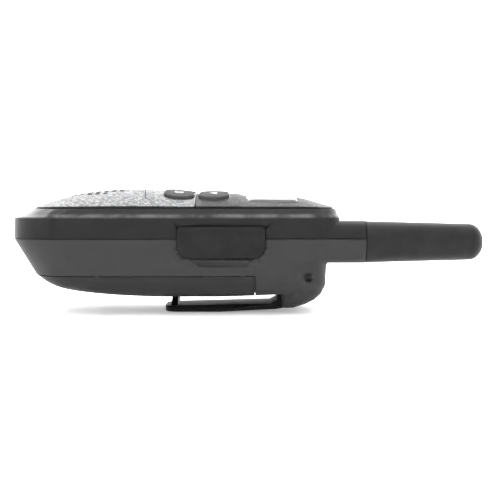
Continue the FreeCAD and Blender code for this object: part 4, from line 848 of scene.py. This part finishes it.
def body_of(node: str) -> str:
    """The body that a frame node belongs to."""
    bodies = frame["record"]["behaviour"]["bodies"]
    return next(name for name, members in bodies.items() if node in members)


def refine(node: str, look: Look) -> bpy.types.Object:
    """Replace a frame node by its smooth, finished copy.

    Args:
        node: The frame node's name.
        look: Its finish.

    Returns:
        The new piece.
    """
    return new_piece(node + "_finished", fair_copy(node), look, body_of(node),
                     slot_of(node), [node])


def dress(nodes: Iterable[str], look: Look) -> None:
    """Give frame nodes a finish and leave their shapes alone.

    Args:
        nodes: The frame nodes' names.
        look: Their finish.
    """
    for node in nodes:
        data = frame["nodes"][node].data
        data.materials.clear()
        data.materials.append(look.material())


# --------------------------------------------------------- geometry nodes


class ShapePlan(Bench):
    """A geometry node tree with named inputs, ending in Realize and Set Material."""

    def __init__(self, name: str, inputs: Mapping[str, Number]) -> None:
        """Start a tree with a geometry input and named numbers.

        Args:
            name: The tree's name.
            inputs: Its numbers by name, with their usual values.
        """
        group = bpy.data.node_groups.new(name, "GeometryNodeTree")
        super().__init__(group)
        self.sockets: dict[str, Any] = {}
        face = group.interface
        face.new_socket("Geometry", in_out="INPUT", socket_type="NodeSocketGeometry")
        for label, value in inputs.items():
            kind = "NodeSocketInt" if isinstance(value, int) else "NodeSocketFloat"
            socket = face.new_socket(label, in_out="INPUT", socket_type=kind)
            socket.default_value = value
            self.sockets[label] = socket
        skin = face.new_socket("Finish", in_out="INPUT", socket_type="NodeSocketMaterial")
        self.sockets["Finish"] = skin
        face.new_socket("Geometry", in_out="OUTPUT", socket_type="NodeSocketGeometry")
        self.entry = self.node("NodeGroupInput")

    def __getitem__(self, label: str) -> Wire:
        """The wire of a named input."""
        return Wire(self, self.entry.outputs[label])

    def upright(self, height: Any) -> Wire:
        """A vector along Z."""
        return self.add("ShaderNodeCombineXYZ", {2: height})

    def moved(self, shape: Wire, height: Any, turn: float = 0.0) -> Wire:
        """A shape moved along Z and turned about it.

        Args:
            shape: The shape.
            height: How far it moves.
            turn: How far it turns.

        Returns:
            The moved shape.
        """
        return self.add("GeometryNodeTransform", {
            "Geometry": shape, "Translation": self.upright(height),
            "Rotation": (0.0, 0.0, turn)})

    def tube(self, line: Wire, radius: Any, sides: Any) -> Wire:
        """A capped round tube along a line, scaled by the line's own radius.

        Args:
            line: The line.
            radius: The tube's radius where the line's is 1.
            sides: How many sides the tube has.

        Returns:
            The tube.
        """
        ring = self.add("GeometryNodeCurvePrimitiveCircle", {"Resolution": sides,
                                                             "Radius": radius})
        return self.add("GeometryNodeCurveToMesh", {
            "Curve": line, "Profile Curve": ring, "Fill Caps": True,
            "Scale": self.add("GeometryNodeInputRadius")})

    def close_on_points(self, shape: Wire) -> None:
        """Put the shape on every start point and end the tree.

        Args:
            shape: The shape.
        """
        seats = self.add("GeometryNodeMeshToPoints", {"Mesh": self["Geometry"]})
        self.close(self.add("GeometryNodeInstanceOnPoints", {"Points": seats,
                                                             "Instance": shape}))

    def close(self, shape: Wire) -> None:
        """End the tree: realise, shade smooth and set the material.

        Args:
            shape: The finished shape.
        """
        real = self.add("GeometryNodeRealizeInstances", {0: shape})
        soft = self.add("GeometryNodeSetShadeSmooth", {"Geometry": real})
        dressed = self.add("GeometryNodeSetMaterial", {"Geometry": soft,
                                                       "Material": self["Finish"]})
        self.node("NodeGroupOutput", {"Geometry": dressed})

    def build(self, look: Look, values: Mapping[str, Number],
              points: Sequence[Vector] = ()) -> bpy.types.Mesh:
        """Run the tree once and return its result as a plain mesh.

        Args:
            look: The finish given to the shape.
            values: Values of the named inputs.
            points: Loose points that the tree starts from.

        Returns:
            The realised mesh.
        """
        start = bpy.data.meshes.new("start")
        start.from_pydata([tuple(point) for point in points], [], [])
        holder = bpy.data.objects.new("holder", start)
        bpy.context.scene.collection.objects.link(holder)
        modifier = holder.modifiers.new("shape", "NODES")
        modifier.node_group = self.tree
        for label, value in values.items():
            modifier[self.sockets[label].identifier] = value
        modifier[self.sockets["Finish"].identifier] = look.material()
        return baked(holder)


def coil_plan() -> ShapePlan:
    """A plan for round wire wound in a coil on each start point, along Z.

    Returns:
        The plan.
    """
    plan = ShapePlan("wire_coil", {"Turns": 5.0, "Foot Radius": 0.002, "Top Radius": 0.002,
                                   "Tall": 0.01, "Wire Radius": 0.0003, "Steps": 24})
    line = plan.add("GeometryNodeCurveSpiral", {
        "Resolution": plan["Steps"], "Rotations": plan["Turns"],
        "Start Radius": plan["Foot Radius"], "End Radius": plan["Top Radius"],
        "Height": plan["Tall"]})
    plan.close_on_points(plan.tube(line, plan["Wire Radius"], 10))
    return plan


def screw_head(plan: ShapePlan) -> Wire:
    """A pan head with a cross recess, below the start point.

    Args:
        plan: The plan that the head is part of.

    Returns:
        The head.
    """
    wide, tall = plan["Head Radius"], plan["Head Tall"]
    dome_radius, dome_drop = 1.25, -0.22
    recess_long, recess_wide, recess_deep, recess_drop = 1.15, 0.26, 1.1, -1.05
    disc = plan.add("GeometryNodeMeshCylinder", {"Vertices": 32, "Radius": wide,
                                                 "Depth": tall}, "Mesh")
    dome = plan.add("GeometryNodeMeshUVSphere", {"Segments": 32, "Rings": 16,
                                                 "Radius": wide * dome_radius}, "Mesh")
    rounded = plan.node("GeometryNodeMeshBoolean", operation="INTERSECT")
    for shape in (plan.moved(disc, tall * -0.5), plan.moved(dome, wide * dome_drop)):
        plan.tree.links.new(shape.socket, rounded.inputs["Mesh 2"])
    cut = plan.node("GeometryNodeMeshBoolean", {"Mesh 1": Wire(plan, rounded.outputs[0])},
                    operation="DIFFERENCE")
    bar = plan.add("GeometryNodeMeshCube", {"Size": plan.add("ShaderNodeCombineXYZ", {
        0: wide * recess_long, 1: wide * recess_wide, 2: tall * recess_deep})}, "Mesh")
    for turn in (0.0, math.pi / 2):
        slot = plan.moved(bar, tall * recess_drop, turn)
        plan.tree.links.new(slot.socket, cut.inputs["Mesh 2"])
    return Wire(plan, cut.outputs[0])


def screw_plan() -> ShapePlan:
    """A plan for pan head screws with a cross recess, head down, on start points.

    Returns:
        The plan.
    """
    plan = ShapePlan("pan_head_screw", {"Head Radius": 0.0022, "Head Tall": 0.0016,
                                        "Shank Radius": 0.0011, "Shank Long": 0.0115,
                                        "Thread Turns": 12.0})
    core, length = plan["Shank Radius"] * 0.8, plan["Shank Long"]
    shank = plan.add("GeometryNodeMeshCylinder", {"Vertices": 20, "Radius": core,
                                                  "Depth": length}, "Mesh")
    thread = plan.add("GeometryNodeCurveSpiral", {
        "Resolution": 20, "Rotations": plan["Thread Turns"], "Start Radius": core,
        "End Radius": core, "Height": length * 0.96})
    ridge = plan.tube(thread, plan["Shank Radius"] * 0.18, 6)
    whole = plan.node("GeometryNodeJoinGeometry")
    for shape in (screw_head(plan), plan.moved(shank, length * 0.5), ridge):
        plan.tree.links.new(shape.socket, whole.inputs[0])
    plan.close_on_points(Wire(plan, whole.outputs[0]))
    return plan


def stem_plan() -> ShapePlan:
    """A plan for a tapered round rod along Z with a domed far end.

    Returns:
        The plan.
    """
    plan = ShapePlan("tapered_rod", {"Long": 0.04, "Foot Radius": 0.007, "Tip Radius": 0.006,
                                     "Dome": 0.2, "Stations": 120, "Sides": 72})
    line = plan.add("GeometryNodeCurvePrimitiveLine", {"End": plan.upright(plan["Long"])})
    line = plan.add("GeometryNodeResampleCurve", {"Curve": line, "Count": plan["Stations"]})
    share = plan.add("GeometryNodeSplineParameter", output="Factor")
    width = plan["Foot Radius"] + (plan["Tip Radius"] - plan["Foot Radius"]) * share
    into_dome = plan.add("ShaderNodeClamp", {0: (share - 1 + plan["Dome"]) / plan["Dome"]})
    roundness = (1.0001 - into_dome * into_dome) ** 0.5
    lip = plan.add("ShaderNodeClamp", {0: share * 90 + 0.93})
    line = plan.add("GeometryNodeSetCurveRadius", {"Curve": line,
                                                   "Radius": width * roundness * lip})
    plan.close(plan.tube(line, 1.0, plan["Sides"]))
    return plan


def rib_plan() -> ShapePlan:
    """A plan for rounded grip ribs along Z on each start point.

    Returns:
        The plan.
    """
    plan = ShapePlan("grip_ribs", {"Tall": 0.006, "Thick": 0.0004})
    line = plan.add("GeometryNodeCurvePrimitiveLine", {
        "Start": plan.upright(plan["Tall"] * -0.5), "End": plan.upright(plan["Tall"] * 0.5)})
    line = plan.add("GeometryNodeResampleCurve", {"Curve": line, "Count": 16})
    share = plan.add("GeometryNodeSplineParameter", output="Factor")
    swell = (share * (1 - share) * 4 + 0.0001) ** 0.2
    line = plan.add("GeometryNodeSetCurveRadius", {"Curve": line,
                                                   "Radius": plan["Thick"] * swell})
    plan.close_on_points(plan.tube(line, 1.0, 12))
    return plan


# ------------------------------------------------------------ sub-assemblies


def middle_of(node: str) -> Vector:
    """Middle of a frame node's box."""
    low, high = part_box(node)
    return (low + high) / 2


def skin_of(node: str) -> BVHTree:
    """A frame node's surface, ready for rays.

    Args:
        node: The frame node's name.

    Returns:
        The surface.
    """
    mesh = frame["nodes"][node].data
    return BVHTree.FromPolygons([vertex.co for vertex in mesh.vertices],
                                [polygon.vertices for polygon in mesh.polygons])


@dataclass
class Case:
    """Both housings, the battery door and the side opening parts."""

    rib_count: int = 7
    rib_pitch: float = 2.2 * MM
    rib_tall: float = 6.5 * MM
    rib_thick: float = 0.42 * MM
    rib_sunk: float = 0.35

    def grip_ribs(self) -> None:
        """Raise rounded ribs on the push-to-talk button."""
        middle, skin = middle_of("ptt_button"), skin_of("ptt_button")
        seats = []
        for count in range(self.rib_count):
            x = middle.x + (count - (self.rib_count - 1) / 2) * self.rib_pitch
            hit = skin.ray_cast(Vector((x, 0.1, middle.z)), Vector((0.0, -1.0, 0.0)))[0]
            seats.append(Vector((x, hit.y - self.rib_thick * self.rib_sunk, middle.z)))
        ribs = rib_plan().build(Look.BUTTON, {"Tall": self.rib_tall,
                                              "Thick": self.rib_thick}, seats)
        new_piece("ptt_grip_ribs", smooth(ribs, 50), Look.BUTTON, "ptt_button",
                  "button_plastic")

    def build(self) -> None:
        """Finish the housings, door, cover and button."""
        self.grip_ribs()
        refine("front_housing", Look.FRONT)
        refine("rear_housing", Look.REAR)
        refine("battery_door", Look.DOOR)
        refine("jack_cover", Look.COVER)
        refine("ptt_button", Look.BUTTON)
        dress(("headset_jack", "microphone_jack"), Look.PARTS)


class Mark(Enum):
    """The raised signs printed on the keys, as outlines in millimetres."""

    RING = tuple(tuple((radius * math.cos(turn * math.pi / 12),
                        radius * math.sin(turn * math.pi / 12))
                       for turn, radius in ((step, 1.0), (step + 1, 1.0),
                                            (step + 1, 1.6), (step, 1.6)))
                 for step in range(24))
    BARS = tuple(((low, -1.7), (low, 1.7), (low + 0.5, 1.7), (low + 0.5, -1.7))
                 for low in (-1.45, -0.25, 0.95))
    UP = (((-1.2, -1.7), (1.5, 0.0), (-1.2, 1.7)),)
    DOWN = (((1.2, -1.7), (1.2, 1.7), (-1.5, 0.0)),)


@dataclass
class KeyPrint:
    """A sign that lies on the crowned top of one key."""

    key: str
    mark: Mark
    proud: float = 0.06 * MM
    cuts: int = 3

    def build(self) -> None:
        """Drape the sign's outlines over the key and give them a thickness."""
        middle, key_top = middle_of(self.key), skin_of(self.key)
        work = bmesh.new()
        for outline in self.mark.value:
            corners = [work.verts.new((middle.x + x * MM, middle.y + y * MM, 0.0))
                       for x, y in outline]
            work.faces.new(corners)
        bmesh.ops.remove_doubles(work, verts=work.verts, dist=5 * MERGE)
        bmesh.ops.subdivide_edges(work, edges=work.edges, cuts=self.cuts, use_grid_fill=True)
        bmesh.ops.triangulate(work, faces=work.faces)
        above = Vector((0.0, 0.0, 0.1))
        for vertex in work.verts:
            hit = key_top.ray_cast(vertex.co + above, Vector((0.0, 0.0, -1.0)))[0]
            vertex.co.z = hit.z - self.proud
        raised = bmesh.ops.extrude_face_region(work, geom=list(work.faces))["geom"]
        tops = [item for item in raised if isinstance(item, bmesh.types.BMVert)]
        bmesh.ops.translate(work, verts=tops, vec=(0.0, 0.0, 2 * self.proud))
        new_piece(self.key + "_print", closed(work, self.key), Look.INK, self.key,
                  "key_plastic")


@dataclass
class DustCloth:
    """The woven cloth that keeps dust out of the speaker."""

    radius: float = 13.6 * MM
    height: float = 37.6 * MM
    crown: float = 0.3 * MM
    thick: float = 0.15 * MM
    rings: int = 14
    sides: int = 72

    def build(self) -> None:
        """Build a shallow crowned disc behind the sound holes."""
        middle = middle_of("speaker_gasket")
        work = bmesh.new()
        layers = []
        for level in (0.0, self.thick):
            hub = work.verts.new((middle.x, middle.y, self.height + self.crown + level))
            grid = []
            for ring in range(1, self.rings + 1):
                share = ring / self.rings
                height = self.height + self.crown * (1 - share * share) + level
                reach = self.radius * share
                grid.append([work.verts.new((
                    middle.x + reach * math.cos(math.tau * side / self.sides),
                    middle.y + reach * math.sin(math.tau * side / self.sides), height))
                    for side in range(self.sides)])
            for side in range(self.sides):
                after = (side + 1) % self.sides
                work.faces.new((hub, grid[0][side], grid[0][after]))
                for inner, outer in zip(grid, grid[1:]):
                    work.faces.new((inner[side], outer[side], outer[after], inner[after]))
            layers.append(grid[-1])
        for side in range(self.sides):
            after = (side + 1) % self.sides
            work.faces.new((layers[0][side], layers[0][after], layers[1][after],
                            layers[1][side]))
        mesh = smooth(closed(work, "dust_cloth"))
        new_piece("dust_cloth", mesh, Look.CLOTH, "radio", "foam")


@dataclass
class Face:
    """Speaker panel, keypad panel, bezel, keys and what shows through them."""

    marks: tuple[tuple[str, Mark], ...] = (
        ("key_call", Mark.RING), ("key_menu", Mark.BARS), ("key_up", Mark.UP),
        ("key_down", Mark.DOWN))

    def build(self) -> None:
        """Finish the panels and keys."""
        DustCloth().build()
        for key, mark in self.marks:
            KeyPrint(key, mark).build()
        refine("speaker_panel", Look.FACE)
        refine("keypad_panel", Look.FACE)
        refine("display_bezel", Look.BEZEL)
        for key in ("key_call", "key_menu", "key_up", "key_down"):
            refine(key, Look.KEYS)
        refine("display_lens", Look.LENS)
        refine("light_pipe", Look.LIGHT)
        dress(("lcd_glass",), Look.LCD)
        dress(("lcd_frame", "board_connector", "processor_chip", "ptt_switch"), Look.PARTS)
        dress(("keypad_mat", "microphone_boot"), Look.MAT)
        dress(("speaker_cone",), Look.CONE)
        dress(("speaker_gasket",), Look.FOAM)
        dress(("speaker_frame", "microphone", "rf_shield"), Look.STEEL)
        dress(("speaker_magnet",), Look.MAGNET)
        dress(("main_board", "display_board"), Look.BOARD)


@dataclass
class Antenna:
    """The rubber sleeve, its coil and its brass foot."""

    dome_share: float = 0.115
    taper: float = 0.85
    turns: float = 9.0
    wire_radius: float = 0.45 * MM

    def build(self) -> None:
        """Build the sleeve and the coil by their rules and finish the rest."""
        low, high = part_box("antenna_sleeve")
        length = high.x - low.x
        radius = (high.z - low.z) / 2
        sleeve = stem_plan().build(Look.ANTENNA, {
            "Long": length, "Foot Radius": radius, "Tip Radius": radius * self.taper,
            "Dome": self.dome_share})
        axis = middle_of("antenna_sleeve")
        turn = Matrix.Rotation(math.pi / 2, 4, "Y")
        sleeve.transform(Matrix.Translation((low.x, axis.y, axis.z)) @ turn)
        new_piece("antenna_sleeve_finished", smooth(sleeve, 40), Look.ANTENNA, "radio",
                  "antenna_rubber", ["antenna_sleeve"])
        low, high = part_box("antenna_coil")
        reach = (high.z - low.z) / 2 - self.wire_radius
        coil = coil_plan().build(Look.STEEL, {
            "Turns": self.turns, "Foot Radius": reach, "Top Radius": reach,
            "Tall": high.x - low.x - 2 * self.wire_radius, "Wire Radius": self.wire_radius},
            [Vector()])
        coil.transform(Matrix.Translation((low.x + self.wire_radius, axis.y, axis.z)) @ turn)
        new_piece("antenna_coil_finished", coil, Look.STEEL, "radio", "spring_wire",
                  ["antenna_coil"])
        dress(("antenna_ferrule",), Look.BRASS)
        dress(("antenna_contact",), Look.STEEL)


@dataclass
class BeltClip:
    """The sprung clip on its base."""

    def build(self) -> None:
        """Finish clip, base, pin and spring."""
        refine("belt_clip", Look.CLIP)
        refine("clip_base", Look.CLIP_BASE)
        dress(("clip_pin", "clip_spring"), Look.STEEL)


@dataclass
class Battery:
    """Three cells between their contacts; the middle one lies the other way."""

    band_share: float = 0.28
    jacket: Colour = grey(0.03)

    def build(self) -> None:
        """Finish cells, plates and springs."""
        for count in (1, 2, 3):
            node = "battery_cell_%d" % count
            low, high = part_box(node)
            flip = count == 2
            share = self.band_share if flip else 1 - self.band_share
            sleeve = CellSleeve("cell_sleeve_%d" % count, self.jacket, flip=flip,
                                band_from=low.x + (high.x - low.x) * share)
            piece = refine(node, Look.STEEL)
            piece.data.materials[0] = sleeve.material()
        dress(("contact_plate_foot", "contact_plate_top", "battery_spring_1",
               "battery_spring_2", "battery_spring_3"), Look.STEEL)


@dataclass
class Screws:
    """Housing and board screws, in three lengths."""

    head_share: float = 0.72
    shank_share: float = 0.5
    threads_per_mm: float = 0.95

    def build(self) -> None:
        """Build the screws, head down in the housing and head up on the board."""
        plan = screw_plan()
        for name, nodes, head_up in (
                ("foot_screws", ("housing_screw_1", "housing_screw_2"), False),
                ("top_screws", ("housing_screw_3", "housing_screw_4"), False),
                ("board_screws", ("board_screw_1", "board_screw_2"), True)):
            self.row(plan, name, nodes, head_up)

    def row(self, plan: ShapePlan, name: str, nodes: Sequence[str], head_up: bool) -> None:
        """Build one length of screw wherever its frame nodes stand.

        Args:
            plan: The plan of a screw.
            name: The new piece's name.
            nodes: The frame nodes it replaces.
            head_up: Whether the heads are at the top.
        """
        low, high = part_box(nodes[0])
        radius = (high.x - low.x) / 2
        tall = radius * self.head_share
        shank = high.z - low.z - tall
        turn = Matrix.Rotation(math.pi if head_up else 0.0, 4, "X")
        seat = high.z - tall if head_up else low.z + tall
        seats = [turn.inverted() @ Vector((*middle_of(node).xy, seat)) for node in nodes]
        mesh = plan.build(Look.SCREWS, {
            "Head Radius": radius, "Head Tall": tall, "Shank Radius": radius * self.shank_share,
            "Shank Long": shank, "Thread Turns": shank / MM * self.threads_per_mm}, seats)
        mesh.transform(turn)
        new_piece(name, smooth(mesh, 35), Look.SCREWS, "radio", "screw_steel", nodes)


# ------------------------------------------------------------------- studio


@dataclass
class Studio:
    """Floor, lights and the camera."""

    target: Vector = field(default_factory=lambda: Vector((1.77, 0.0, 21.4)) * MM)
    distance: float = 0.45
    tilt: float = 0.0488
    lens: float = 89.6
    surround: float = 0.11
    boxes: tuple[tuple[Any, ...], ...] = (
        ("long_box", (0.0, -0.13, 0.62), (0.0, -0.13, 0.0), 1.0, 0.26, 2.0),
        ("foot_fill", (-0.8, -0.3, 0.4), (0.0, 0.0, 0.02), 0.5, 0.5, 1.3),
        ("wall_wash", (0.0, 0.45, 1.1), (0.0, 1.7, 0.5), 1.4, 0.5, 40.0),
        ("floor_wash", (0.0, 0.5, 0.9), (0.0, 0.9, 0.0), 1.4, 0.5, 9.0),
    )

    def build(self) -> None:
        """Put up the pale floor, soft lights and the camera."""
        self._floor()
        self._lights()
        self._camera()

    def _floor(self) -> None:
        """A pale round floor that curves up into a wall all round."""
        flat, bend, tall, sides, steps, foot = 1.1, 0.6, 3.5, 96, 12, -0.05 * MM
        profile = [(0.25, foot), (0.7, foot), (flat, foot)]
        for step in range(1, steps + 1):
            angle = math.pi / 2 * step / steps
            profile.append((flat + bend * math.sin(angle), bend * (1 - math.cos(angle))))
        profile.append((flat + bend, tall))
        points = [(0.0, 0.0, foot)]
        for radius, height in profile:
            for side in range(sides):
                angle = math.tau * side / sides
                points.append((radius * math.cos(angle), radius * math.sin(angle), height))
        faces: list[tuple[int, ...]] = [(0, 1 + side, 1 + (side + 1) % sides)
                                        for side in range(sides)]
        for ring in range(len(profile) - 1):
            start = 1 + ring * sides
            for side in range(sides):
                other = (side + 1) % sides
                faces.append((start + side, start + sides + side, start + sides + other,
                              start + other))
        mesh = bpy.data.meshes.new("backdrop")
        mesh.from_pydata(points, [], faces)
        mesh.shade_smooth()
        mesh.materials.append(self._paper())
        floor = bpy.data.objects.new("backdrop", mesh)
        bpy.context.scene.collection.objects.link(floor)

    def _paper(self) -> bpy.types.Material:
        """Pale paper that is seen through from below.

        Returns:
            The material.
        """
        bench = MaterialBench("pale_floor")
        fleck = bench.noise(60 * MM, 2.0)
        paper = bench.add("ShaderNodeBsdfPrincipled", {
            "IOR": 1.45, "Specular IOR Level": 0.2, "Emission Strength": 0.3,
            "Emission Color": (1.0, 1.0, 1.0, 1.0), "Roughness": 0.7 + fleck * 0.1,
            "Base Color": bench.tinted(grey(0.88), 0.98 + fleck * 0.04)})
        below = bench.add("ShaderNodeNewGeometry", output="Backfacing")
        bench.node("ShaderNodeOutputMaterial", {"Surface": bench.add("ShaderNodeMixShader", {
            0: below, 1: paper, 2: bench.add("ShaderNodeBsdfTransparent")})})
        return bench.material

    def _lights(self) -> None:
        """A long box above, a fill in front, and washes on the wall behind."""
        for name, place, aim, width, depth, power in self.boxes:
            lamp = bpy.data.lights.new(name, "AREA")
            lamp.shape = "RECTANGLE"
            lamp.size, lamp.size_y = width, depth
            lamp.energy = power
            light = bpy.data.objects.new(name, lamp)
            light.location = place
            way = Vector(aim) - Vector(place)
            light.rotation_euler = way.to_track_quat("-Z", "Y").to_euler()
            bpy.context.scene.collection.objects.link(light)
        world = bpy.data.worlds.new("surround")
        world.use_nodes = True
        sky = world.node_tree.nodes["Background"]
        sky.inputs["Color"].default_value = (1.0, 1.0, 1.0, 1.0)
        sky.inputs["Strength"].default_value = self.surround
        bpy.context.scene.world = world
        bpy.context.scene.view_settings.view_transform = "Standard"

    def _camera(self) -> None:
        """Look along the body's long side from just above it."""
        lens = bpy.data.cameras.new("camera")
        lens.lens = self.lens
        lens.sensor_width = 36.0
        lens.clip_start = 0.01
        camera = bpy.data.objects.new("camera", lens)
        back = Vector((0.0, -math.sqrt(1 - self.tilt ** 2), self.tilt))
        camera.location = self.target + back * self.distance
        camera.rotation_euler = (-back).to_track_quat("-Z", "Y").to_euler()
        bpy.context.scene.collection.objects.link(camera)
        bpy.context.scene.camera = camera


def main() -> None:
    """Build every sub-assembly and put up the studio."""
    logging.basicConfig(level=logging.INFO, format="%(name)s %(message)s")
    for part in (Case(), Face(), Antenna(), BeltClip(), Battery(), Screws(), Studio()):
        LOG.info("building %s", type(part).__name__)
        part.build()


if __name__ == "__main__":
    main()
